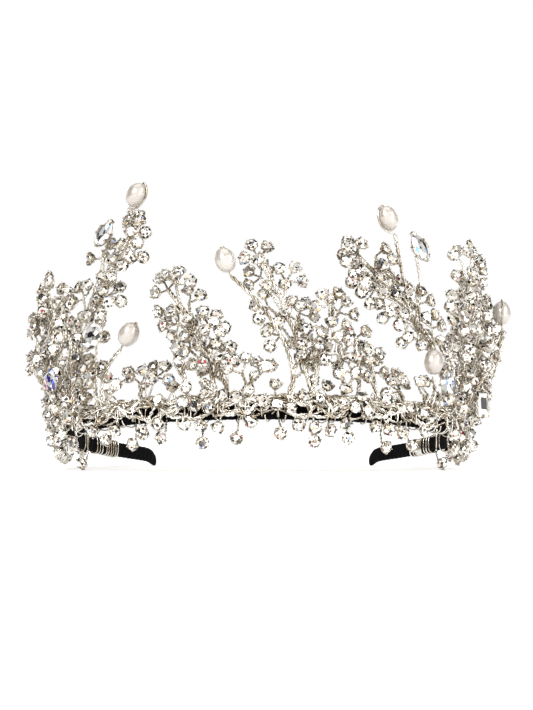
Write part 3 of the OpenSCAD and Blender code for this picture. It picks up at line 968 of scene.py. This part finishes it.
# Every place already set, with the room it needs, so that an added stone keeps clear of it
# and doesn't hide it from the front. Of the pearls' stems, the second to the fourth stand
# where stones could come too near.
taken = []
for piece in pearls + fancies:
    for further in clearance["beforePiece"]:
        taken.append((place(piece["spot"]) - (0, further, 0), clearance["piece"]))
for pearl in pearls[1:4]:
    for spot in pearlStem(pearl)[2:]:
        for further in clearance["beforeStem"]:
            taken.append((spot - (0, further, 0), clearance["stem"]))


# Notes the places of stones.
def takePlaces(stones):
    taken.extend((place(spot), 0) for spot, _, _ in stones)
    return stones


# The stones that find room, one after the other.
def keepClear(stones):
    kept = []
    for entry in stones:
        point = place(entry[0])
        least = clearance["stone"]
        clear = all(np.linalg.norm(point - other) > max(least, need) for other, need in taken)
        if clear and rest(point[None])[0, 2] > clearance["floor"]:
            kept += takePlaces([entry])
    return kept


# A main stem: how it comes off the vine, its sway, and how many points it has at least and
# more for each millimetre. A twig: how far below its middle's share it leaves the stem, and
# its sag.
mainStem = {
    "run": 9, "start": (2.2, 1), "nextShare": 0.4, "next": (2.8, 2.6), "from": 0.12, "sway": 0.5,
    "points": 10, "perLength": 2.2,
}
twig = {"below": 0.08, "least": 0.02, "sag": 0.5, "points": 14}


# Wires of a spray: a three-strand main stem that comes off the vine at a slant and sways a
# little, and two-strand twigs.
def sprayWires(spray, twigs):
    foot = spray["foot"]
    run = math.copysign(mainStem["run"], foot)
    slant = (foot + run, *mainStem["start"]), (foot + mainStem["nextShare"] * run, *mainStem["next"])
    spots = np.concatenate([slant, stemAt(spray, np.linspace(mainStem["from"], 1, 8))])
    spots[2:-1, 0] += mainStem["sway"] * wobble(np.arange(7) + foot)
    length = math.hypot(spray["tip"] - foot, spray["height"])
    stem = smoothPath(place(spots), int(length * mainStem["perLength"]) + mainStem["points"])
    shares = [max(share - twig["below"], twig["least"]) for share, _, _ in twigs]
    starts = np.array([place(stemAt(spray, share)) for share in shares])
    middles = np.array([place(middle) for _, middle, _ in twigs])
    bends = 0.5 * (starts + middles) - (0, 0, twig["sag"])
    paths = smoothPath(np.stack([starts, bends, middles], 1), twig["points"])
    return [twistedWire(stem, "stem"), twistedWire(paths, "twig")]


# Stalks and cups of a list of stones, then the crystals.
def stoneParts(stones):
    spots = np.array([spot for spot, _, _ in stones])
    points = place(spots)
    middles = place(np.array([middle for _, middle, _ in stones]))
    axes = unit(lead(spots[:, 0], np.array([facing for _, _, facing in stones])))
    foot = points - stone["cupFoot"] * axes
    bend = mix(middles, foot, stone["bendShare"]) - stone["bendBack"] * axes
    paths = smoothPath(np.stack([middles, bend, foot], 1), stone["stalkPoints"])
    spins = wobble(np.arange(len(stones)) + points[:, 0]) * np.pi
    wires = [
        tubes(paths, stone["stalkWire"], 5, stone["lobes"], stone["pitch"]),
        stamp(clawSetting, points, axes, stone["cup"], spins),
    ]
    lifted = points + stone["rise"] * axes
    gems, faces = stamp(brilliantCut, lifted, axes, stone["radius"], spins + stone["spin"])
    return wires, (gems, faces, groupShades(facetShades(len(stones)), brilliantCut[1]))


# The sprays and the fringe whose wires take the shaded silver: painted shade that darkens them because
# they stand free before the bright room.
freeWires = ("sprayA", "sprayB", "sprayC", "sprayD", "lowSprays", "frontFill", "frontFringe")


# Joins the two pieces of a group of stones: its wires, and its crystals.
def joinPair(title, wires, stones, nodes=()):
    stoneWires, gems = stoneParts(stones)
    finish = shadedWire if title in freeWires else silverWire
    joinPiece(title + "Wires", wires + stoneWires, finish, nodes[:1])
    joinPiece(title + "Crystals", [gems], cutCrystal, nodes[1:], smooth=False)


# The crystals that hang below the band, with the frame's own numbers.
fringes = named("title start step count firstDrop lastDrop play out", (
    ("frontFringe", -55.5, 12, 10, 9.3, 9.3, 1.8, 3.4),
    ("leftFringe", -66, -9.5, 6, 8.6, 7, 0, 4),
    ("rightFringe", 66, 9.5, 6, 8.6, 7, 0, 4),
))
# How far they play along, out and in their facing, how far they face down, and where the
# lowest hang and how deep. Then the wire that carries them, with its run past the ends.
hang = {
    "alongPlay": 1.5, "outPlay": 0.8, "facePlay": 0.3, "faceDown": -0.35,
    "lowAlong": 66, "lowDrop": 14.5,
}
runner = {"out": 1.8, "up": -0.8, "sway": 1.2, "pace": 0.37, "past": 2, "points": 160}


# The wire that carries the hanging crystals waves over the band's front by a sine.
def runnerAt(along):
    along = np.asarray(along, float)
    up = runner["up"] + runner["sway"] * np.sin(runner["pace"] * along)
    return np.stack([along, runner["out"] + 0 * along, up], -1)


# Hanging crystals at even steps, each a little off its place; the lowest hang straight.
def hangingStones(fringe):
    stones = []
    for i in range(fringe["count"]):
        along = fringe["start"] + fringe["step"] * i
        drop = mix(fringe["firstDrop"], fringe["lastDrop"], i / (fringe["count"] - 1))
        drop = drop + fringe["play"] * wobble(i)
        aside, turned = hang["alongPlay"] * wobble(i + 3), hang["facePlay"] * wobble(i)
        if abs(along) == hang["lowAlong"]:
            drop, aside, turned = hang["lowDrop"], 0, 0
        spot = along + aside, fringe["out"] + hang["outPlay"] * wobble(i + 1), -drop
        stones.append((spot, runnerAt(along), (turned, 1, hang["faceDown"])))
    return stones


# Short-stalked crystals on the vine and between the hanging ones: along start and end,
# count, out, up, and how far up and out they play.
scatterRows = {
    "frontFringe": (
        (-60, 62, 20, 4.4, -5.2, 1.7, 0.9),
        (-34, 62, 19, 4.8, 2.4, 2.6, 0.9),
        (-30, 37, 20, 4.6, 6.8, 2.8, 1.6),
    ),
    "leftFringe": ((-70, -128, 22, 5.0, -5.5, 2.6, 1.6), (-70, -126, 22, 6.5, 4.5, 5.0, 1.8)),
    "rightFringe": ((70, 128, 22, 5.0, -5.5, 2.6, 1.6), (70, 126, 22, 6.5, 4.5, 5.0, 1.8)),
}
# How far they play along, where their stalks start, and how they face.
scatter = {"alongPlay": 0.35, "rootPlay": 2.5, "rootOut": 2.3, "rootUp": (-1.5, 1.5),
           "faceAlong": 0.5, "faceHigh": 0.12, "facePlay": 0.3}


def scatterStones(row, seed):
    start, end, count, out, up, playUp, playOut = row
    stones = []
    for i in range(count):
        wave = wobble(np.arange(5) * 3 + 11 * i + seed)
        along = mix(start, end, (i + 0.5 + scatter["alongPlay"] * wave[0]) / count)
        spot = along, out + playOut * wave[1], up + playUp * wave[2]
        rootUp = mix(*scatter["rootUp"], (wave[4] + 1) / 2)
        root = along + scatter["rootPlay"] * wave[3], scatter["rootOut"], rootUp
        turned = scatter["faceAlong"] * wave[3] + faceAcross(along, along)
        facing = turned, 1, scatter["faceHigh"] * up + scatter["facePlay"] * wave[4]
        stones.append((spot, root, facing))
    return stones


# The frame's own crystals take their places first, then the added ones fit between them.
ownBunches = {}
for title in sprayRows:
    ownBunches[title] = [ownTwigs(spray) for spray in sprays[title]]
    for twigs in ownBunches[title]:
        for _, _, stones in twigs:
            takePlaces(stones)
fringeStones = {fringe["title"]: takePlaces(hangingStones(fringe)) for fringe in fringes}
for seed, (title, rows) in enumerate(scatterRows.items()):
    for number, row in enumerate(rows):
        added = scatterStones(row, 17 * seed + 5 * number)
        fringeStones[title] = fringeStones[title] + keepClear(added)


# Dresses a group of sprays: the frame's own twigs, the added ones whose stones find room,
# and loose curls.
def dressSprays(title, nodes=(), curls=()):
    wires, stones = list(curls), []
    for number, spray in enumerate(sprays[title]):
        twigs = list(ownBunches[title][number]) if title in ownBunches else []
        added = addedTwigs(spray, 3 * number + len(title))
        if title not in ownBunches:
            added.append(topBunch(spray, number))
        for share, middle, bunch in added:
            kept = keepClear(bunch)
            if kept:
                twigs.append((share, middle, kept))
        if twigs:
            wires += sprayWires(spray, twigs)
            for _, _, bunch in twigs:
                stones += bunch
    joinPair(title, wires, stones, nodes)


for title in sprayRows:
    node = "low_sprays" if title == "lowSprays" else "spray_" + title[-1].lower()
    dressSprays(title, [node + "_wire", node + "_crystals"])


# Loose wires among the side fills. Each row of the shape has shares of the bend along and
# of the rise up, and the step out.
sideCurl = {
    "count": 80, "along": (84.5, 121), "foot": (3, 32), "rise": (7, 15), "bend": 2.6, "out": (3.2, 7.5),
    "shape": ((0, -1.5, 0), (1, 0.4, 0.25), (0.2, 1, 0.5), (-0.8, 0.2, 0.75), (-0.2, -1.2, 1)),
    "high": 96, "fall": 60, "wire": 0.34, "points": 16,
}


# Each climbs by its rise from a place near the band, and bends to one side and out by
# turns. They start lower the further they are from where the side stands highest.
def sideCurls(side):
    number = np.arange(sideCurl["count"])[:, None]
    waves = [0.5 + 0.5 * wobble((3 + k) * number + 5 * k) for k in range(5)]
    bendShare, outStep, riseShare = np.array(sideCurl["shape"]).T
    along = side * mix(*sideCurl["along"], (number + waves[0]) / sideCurl["count"])
    along = along + sideCurl["bend"] * (waves[1] - 0.5) * 2 * bendShare
    out = mix(*sideCurl["out"], waves[2]) + outStep
    near = 1 - abs(abs(along) - sideCurl["high"]) / sideCurl["fall"]
    up = mix(*sideCurl["foot"], waves[3]) * near + riseShare * mix(*sideCurl["rise"], waves[4])
    paths = place(smoothPath(np.stack([along, out, up], -1), sideCurl["points"]))
    return tubes(paths, sideCurl["wire"], 5)


sideWires = {"leftFill": [sideCurls(-1)], "rightFill": [sideCurls(1)]}
for title in fillRows:
    dressSprays(title, curls=sideWires.get(title, ()))
print("sprays made,", len(taken), "places taken")

for fringe in fringes:
    past = math.copysign(runner["past"], fringe["step"])
    end = fringe["start"] + fringe["step"] * (fringe["count"] - 1)
    line = place(runnerAt(np.linspace(fringe["start"] - past, end + past, runner["points"])))[None]
    title = fringe["title"]
    node = title.replace("Fringe", "_fringe")
    nodes = [node + "_wire", node + "_crystals"]
    joinPair(title, [twistedWire(line, "runner")], fringeStones[title], nodes)
print("fringes made")


# A pearl: an oval turned about its hole, its radius the cosine of the height angle, with
# low swells round it and along it.
def pearlShape(middle, axis, number):
    height = np.linspace(-np.pi / 2, np.pi / 2, pearlSize["rings"])[:, None]
    turn = 2 * np.pi * np.arange(pearlSize["sides"])[None] / pearlSize["sides"]
    roundSwell = pearlSize["roundSwell"] * np.sin(2 * turn + number) * np.cos(height)
    swell = 1 + roundSwell + pearlSize["longSwell"] * np.sin(3 * height + number)
    girth = np.maximum(np.cos(height), pearlSize["pole"]) ** pearlSize["power"]
    radius = pearlSize["wide"] / 2 * girth * swell
    side = unit(np.cross((0.0, 1.0, 0.0), axis))
    front = np.cross(axis, side)
    ring = np.cos(turn)[..., None] * side + np.sin(turn)[..., None] * front
    rise = pearlSize["long"] / 2 * np.sin(height)
    points = middle + radius[..., None] * ring + rise[..., None] * axis
    return points.reshape(-1, 3), ringFaces(*points.shape[:2])


# The wire in the hole: how far it reaches past the pearl below and above.
holeWire = {"below": 2, "above": 0.35, "wire": 0.3, "points": 9}
# The outer loop: how far round it goes, how far off the pearl it runs, and its two ends.
outerLoop = {
    "sweep": (86, -86), "arcPoints": 22, "over": 0.55, "off": 0.4, "ends": (0.5, 1.4), "points": 70,
    "wire": 0.3,
}
# The small curl over the hole: rise and shift to the side.
endCurl = {"shape": ((0, 0), (0.45, 0.25), (0.3, 0.8), (-0.5, 1.25)), "points": 12, "wire": 0.24}


# A half circle over the pearl's side, from just over its upper end to below its lower end.
def pearlLoop(middle, axis, side):
    reach = pearlSize["long"] / 2
    turn = np.radians(np.linspace(*outerLoop["sweep"], outerLoop["arcPoints"]))[:, None]
    aside = (pearlSize["wide"] / 2 + outerLoop["off"]) * np.cos(turn) * side
    arc = middle + (reach + outerLoop["over"]) * np.sin(turn) * axis + aside
    above, below = outerLoop["ends"]
    path = np.concatenate([[middle + (reach + above) * axis], arc, [middle - (reach + below) * axis]])
    return tubes(smoothPath(path, outerLoop["points"]), outerLoop["wire"], 6)


# A curl of a few points that stands on the pearl's upper end.
def pearlCurl(middle, axis, side):
    rise, aside = np.array(endCurl["shape"]).T[..., None]
    path = middle + pearlSize["long"] / 2 * axis + rise * axis + aside * side
    return tubes(smoothPath(path, endCurl["points"]), endCurl["wire"], 6)


# A pearl's wires: its twisted stem, the wire in its hole, and its loop or curl.
def pearlWires(pearl, middle, axis, side):
    stem = pearlStem(pearl)
    path = smoothPath(stem, pearlStemShape["smooth"] * len(stem))
    reach = pearlSize["long"] / 2
    ends = middle - (reach + holeWire["below"]) * axis, middle + (reach + holeWire["above"]) * axis
    hole = smoothPath(np.array([ends[0], middle, ends[1]]), holeWire["points"])
    top = pearlLoop if pearl["loop"] else pearlCurl
    return [twistedWire(path, "pearlStem"), tubes(hole, holeWire["wire"], 8), top(middle, axis, side)]


for number, pearl in enumerate(pearls):
    middle = place(pearl["spot"])
    along, lean = pearl["spot"][0], math.radians(pearl["lean"])
    axis = lead(along, fan(1, 0, lean))
    side = lead(along, (math.cos(lean), 0, -math.sin(lean))) * (pearl["loop"] or 1)
    shape = pearlShape(middle, axis, number)
    wires = pearlWires(pearl, middle, axis, side)
    joinPiece(f"pearl{number + 1}", [shape], pearlNacre, [f"pearl_{number + 1}"])
    joinPiece(f"pearlWire{number + 1}", wires, shadedWire, [f"pearl_wire_{number + 1}"])
print("pearls strung")

# Tones of the large crystals' facets, painted reflections and shade, with the violet one's own colour
# among them; how often each comes, and the tone of the table.
paintedFancyTones = {
    "clear": {
        "tones": (
            (1, 1, 1), (0.8, 0.82, 0.84), (0.35, 0.36, 0.37), (0.04, 0.04, 0.045), (0.3, 0.55, 0.9),
            (0.8, 0.6, 0.4),
        ),
        "shares": (0.26, 0.16, 0.26, 0.22, 0.06, 0.04),
        "table": (1, 1, 1),
    },
    "deep": {
        "tones": ((1, 1, 1), (0.7, 0.69, 0.66), (0.02, 0.02, 0.02), (0.25, 0.24, 0.22)),
        "shares": (0.5, 0.18, 0.17, 0.15),
        "table": (0.03, 0.03, 0.035),
    },
    "violet": {
        "tones": (
            (1, 1, 1), (0.66, 0.68, 0.8), (0.08, 0.18, 0.85),
            (0.06, 0.03, 0.2), (0.6, 0.25, 0.4), (0.02, 0.02, 0.03),
        ),
        "shares": (0.44, 0.16, 0.14, 0.14, 0.05, 0.07),
        "table": (0.05, 0.05, 0.3),
    },
}
# How far they face up; how far a pear's outline draws in, and how a baguette's corners are
# cut; the crown's height over the girdle, and the corners and steps of a baguette.
fancy = {
    "faceUp": 0.12, "pearNarrow": 0.45, "baguetteWide": 1.5, "baguetteLong": 1.22,
    "crown": 3.1, "girdle": 0.15,
    "corners": (34, 56, 124, 146, 214, 236, 304, 326),
    "steps": ((1, -0.25), (1, 0.15), (0.86, 0.6), (0.7, 0.9), (0.5, 1.15)),
}


# A large crystal's outline at points of the unit circle: a pear draws in on its upper half,
# and a baguette is a rectangle with cut corners.
def fancyPlan(gem, circle, grow):
    wide, long = gem["wide"] / 2 + grow, gem["long"] / 2 + grow
    x, y = circle[..., 0], circle[..., 1]
    if gem["plan"] == "pear":
        x = x * (1 - fancy["pearNarrow"] * np.maximum(y, 0))
    if gem["plan"] == "baguette":
        x = np.clip(fancy["baguetteWide"] * x, -1, 1)
        y = np.clip(fancy["baguetteLong"] * y, -1, 1)
    return np.stack([wide * x, long * y], -1)


# The directions a large crystal is laid out on: to its right, up its length, and outwards.
def fancyAxes(gem):
    along, turn = gem["spot"][0], math.radians(gem["turn"])
    out = unit(lead(along, (gem["right"], 1, fancy["faceUp"])))
    up = lead(along, fan(1, 0, turn))
    up = unit(up - (up @ out) * out)
    return np.stack([np.cross(up, out), up, out])


# Points of the unit circle at angles in degrees.
def circlePoints(degrees):
    turn = np.radians(np.asarray(degrees, float))
    return np.stack([np.cos(turn), np.sin(turn)], -1)


# The round cut drawn out to the outline; a baguette steps up in three bands to its table.
def fancyShape(gem, axes, middle):
    if gem["plan"] == "baguette":
        circle = circlePoints(fancy["corners"])
        flat = np.concatenate([share * fancyPlan(gem, circle, 0) for share, _ in fancy["steps"]])
        rise = np.repeat([height for _, height in fancy["steps"]], len(circle))
        points = np.column_stack([flat, rise])
        groups = ringFaces(len(fancy["steps"]), len(circle))
    else:
        points, groups = brilliantCut
        rise = fancy["girdle"] + fancy["crown"] * points[:, 2:]
        points = np.column_stack([fancyPlan(gem, points[:, :2], 0), rise])
    return middle + points @ axes, groups


# A large crystal's stem: where its knee lies between foot and crystal, and how far behind
# the crystal's middle it ends.
fancyStemShape = {"kneeAlong": 0.3, "kneeHigh": 0.55, "points": 8, "smooth": 20, "back": 2.7}


# It comes off its spray's stem, or rises from the band on a curve, to the crystal's back.
def fancyStem(gem, back):
    if gem["foot"] in rides:
        return rideSpray(gem["foot"], back)
    along, out, up = gem["spot"]
    high = fancyStemShape["kneeHigh"]
    knee = place((mix(gem["foot"], along, fancyStemShape["kneeAlong"]), out * high, up * high))
    return kneeCurve(place((gem["foot"], *stemFoot)), knee, back, fancyStemShape["points"])


# The setting's band of metal: growth of the outline, share of it, and height. Then a claw's
# path of growth and height, its thickness along it, and that of the broad one.
setting = {
    "rows": (
        (0.34, 0.45, -2.9), (0.34, 1, -0.3), (0.34, 1, 0.3),
        (0.12, 1, 0.3), (0.12, 1, -0.2), (0.12, 0.36, -0.4),
    ),
    "sides": 40,
    "clawAngles": (18, 90, 162, 198, 270, 342),
    "clawPath": ((0.45, -0.9), (0.5, 0.1), (0.36, 0.62), (-0.1, 0.95), (-0.45, 1.0)),
    "clawThick": (0.3, 0.3, 0.3, 0.3, 0.3, 0.3, 0.34, 0.4, 0.2),
    "broadThick": (0.5, 0.6, 0.72, 0.8, 0.82, 0.8, 0.7, 0.55, 0.3),
}


# The setting: a band of metal round the girdle that closes behind, and claws over it. A
# pear's tip has a broad one.
def fancySetting(gem, axes, middle):
    sides = setting["sides"]
    circle = circlePoints(np.arange(sides) * 360 / sides)
    points = np.concatenate([
        np.column_stack([share * fancyPlan(gem, circle, grow), np.full(sides, height)])
        for grow, share, height in setting["rows"]
    ])
    bezel = middle + points @ axes, ringFaces(len(setting["rows"]), sides)
    circle = circlePoints(setting["clawAngles"])
    clawCount = len(circle)
    paths = np.stack([
        np.column_stack([fancyPlan(gem, circle, grow), np.full(clawCount, height)])
        for grow, height in setting["clawPath"]
    ], 1)
    thick = np.tile(np.array(setting["clawThick"]), (clawCount, 1))
    if gem["plan"] == "pear":
        thick[1] = setting["broadThick"]
    return [bezel, tubes(smoothPath(middle + paths @ axes, thick.shape[1]), thick, 6)]


for gem in fancies:
    axes = fancyAxes(gem)
    middle = place(gem["spot"])
    points, groups = fancyShape(gem, axes, middle)
    look = paintedFancyTones[gem["tones"]]
    faceCount = sum(len(group) for group in groups)
    # Each facet takes a painted reflection tone at random, and the table its own painted tone.
    shades = np.array(look["tones"])[shuffle.choice(len(look["tones"]), faceCount, p=look["shares"])]
    shades[-1 if gem["plan"] == "baguette" else -2] = look["table"]
    finish, slot = cutCrystal, "clear_crystal"
    if gem["tones"] == "violet":
        finish, slot = violetCrystal, "violet_crystal"
    node = gem["node"]
    title = node.title().replace("_", "")
    joinPiece(title, [(points, groups, shades)], finish, [node], smooth=False)
    stem = fancyStem(gem, middle - fancyStemShape["back"] * axes[2])
    path = smoothPath(stem, fancyStemShape["smooth"] * len(stem))
    parts = fancySetting(gem, axes, middle) + [twistedWire(path, "largeStem")]
    node = node.replace("crystal_", "setting_").replace("_crystal", "_setting")
    joinPiece(title + "Setting", parts, shadedWire, [node])
print("large crystals set")

# The camera looks level at the front from just above the floor, and the shift brings the
# tiara to its place in the picture.
view = {"height": 0.015, "distance": 0.65, "aside": -0.00187, "lens": 100.5, "sensor": 36,
        "horizonRow": 427, "rows": 710}


def placeCamera():
    lens = bpy.data.cameras.new("studioCamera")
    lens.lens = view["lens"]
    lens.sensor_width = view["sensor"]
    lens.shift_y = (view["horizonRow"] - view["rows"] / 2) / view["rows"]
    lens.clip_start = 0.01
    camera = bpy.data.objects.new("studioCamera", lens)
    front = band["move"][1] * 0.001 - view["distance"]
    camera.location = (view["aside"], front, view["height"])
    camera.rotation_euler = (math.pi / 2, 0, 0)
    bpy.context.scene.collection.objects.link(camera)
    bpy.context.scene.camera = camera


placeCamera()

studio = {"floorTone": (0.75, 0.75, 0.75, 1), "floorRough": 0.9, "floorSize": 6.0, "steps": 48,
          "nearFar": (0.2, 1.2), "glow": (0.42, 0.75)}


# The floor is one flat round sheet that glows by its own emission, more the further it lies from the
# middle: painted light that makes it plain white at a distance and lightens the shade near the jewel.
def studioFloor():
    turn = 2 * np.pi * np.arange(studio["steps"]) / studio["steps"]
    points = studio["floorSize"] * np.stack([np.cos(turn), np.sin(turn), 0 * turn], -1)
    mesh = bpy.data.meshes.new("studioFloor")
    mesh.from_pydata(points.tolist(), [], [list(range(studio["steps"]))])
    sheet = bpy.data.objects.new("studioFloor", mesh)
    bpy.context.scene.collection.objects.link(sheet)
    finish, shader, flow = newFinish("studioPaper", {
        "Base Color": studio["floorTone"], "Roughness": studio["floorRough"], "Emission Strength": 1,
    })
    spot = flow.add("ShaderNodeTexCoord", {}, {}, "Object")
    away = flow.add("ShaderNodeVectorMath", {"operation": "LENGTH"}, {0: spot}, "Value")
    (near, far), (low, high) = studio["nearFar"], studio["glow"]
    glow = flow.add("ShaderNodeMapRange", {}, {0: away, 1: near, 2: far, 3: low, 4: high}, 0)
    paintedGlow = flow.add("ShaderNodeCombineColor", {}, {0: glow, 1: glow, 2: glow}, 0)
    feed(shader, {"Emission Color": paintedGlow})
    mesh.materials.append(finish)


studioFloor()


# A rectangle of soft light at a spot, turned to shine at its aim.
def softLight(name, spot, aim, size, power):
    lamp = bpy.data.lights.new(name, "AREA")
    lamp.shape = "RECTANGLE"
    lamp.size, lamp.size_y = size
    lamp.energy = power
    holder = bpy.data.objects.new(name, lamp)
    holder.location = spot
    to = np.array(aim) - np.array(spot)
    flat = math.hypot(to[0], to[1])
    holder.rotation_euler = (math.atan2(flat, -to[2]), 0, math.atan2(to[1], to[0]) - math.pi / 2)
    bpy.context.scene.collection.objects.link(holder)


softLight("keyLight", (-0.6, -0.9, 0.7), (0, 0, 0.05), (0.55, 0.55), 8.5)
softLight("sideLight", (1.05, -0.55, 0.8), (0, 0, 0.05), (0.4, 0.5), 8)
softLight("fillLight", (0.8, -0.9, 0.3), (0.08, 0, 0.04), (0.45, 0.45), 2.4)

# How bright the room is where it shines in the metal: the stops of its patches and their
# scale, how much brighter they are before and behind the jewel and how much more so before
# it, by how much all are darkened, the ceiling with the heights at which it begins, and
# what the picture shows behind.
room = {
    "stops": (
        (0.45, (0.015, 0.012, 0.008)), (0.5, (0.13, 0.108, 0.08)),
        (0.54, (0.55, 0.5, 0.43)), (0.6, (1.5, 1.46, 1.4)),
    ),
    "patchScale": 3.4, "deep": 0.3, "front": 0.07, "darker": 0.1,
    "ceiling": (1.6, 1.58, 1.55, 1), "ceilingEdge": (0.84, 0.92), "behind": (1, 1, 1, 1),
}


# The room is plain white to the camera. The jewel has a pale ceiling over it and patches of
# dark and bright around it, more bright ones before and behind it than at its sides.
def studioRoom():
    world = bpy.data.worlds.new("studioRoom")
    bpy.context.scene.world = world
    world.use_nodes = True
    tree = world.node_tree
    flow = Flow(tree)
    way = flow.add("ShaderNodeTexCoord", {}, {}, "Generated")
    depth = flow.add("ShaderNodeSeparateXYZ", {}, {0: way}, "Y")
    height = flow.add("ShaderNodeSeparateXYZ", {}, {0: way}, "Z")
    patches = flow.add(
        "ShaderNodeTexNoise", {}, {"Vector": way, "Scale": room["patchScale"], "Detail": 1}, "Fac",
    )
    lift = depth * (depth * room["deep"] - room["front"])
    tone = ramp(flow, room["stops"], patches + lift - room["darker"])
    low, high = room["ceilingEdge"]
    over = flow.add("ShaderNodeMapRange", {}, {0: height, 1: low, 2: high}, 0)
    lit = flow.add("ShaderNodeMix", {"data_type": "RGBA"}, {0: over, 6: tone, 7: room["ceiling"]}, 2)
    seen = flow.add("ShaderNodeLightPath", {}, {}, "Is Camera Ray")
    mixed = flow.add("ShaderNodeMix", {"data_type": "RGBA"}, {0: seen, 6: lit, 7: room["behind"]}, 2)
    tree.links.new(mixed.socket, tree.nodes["Background"].inputs["Color"])


studioRoom()
bpy.context.scene.view_settings.view_transform = "Standard"
print("studio set")
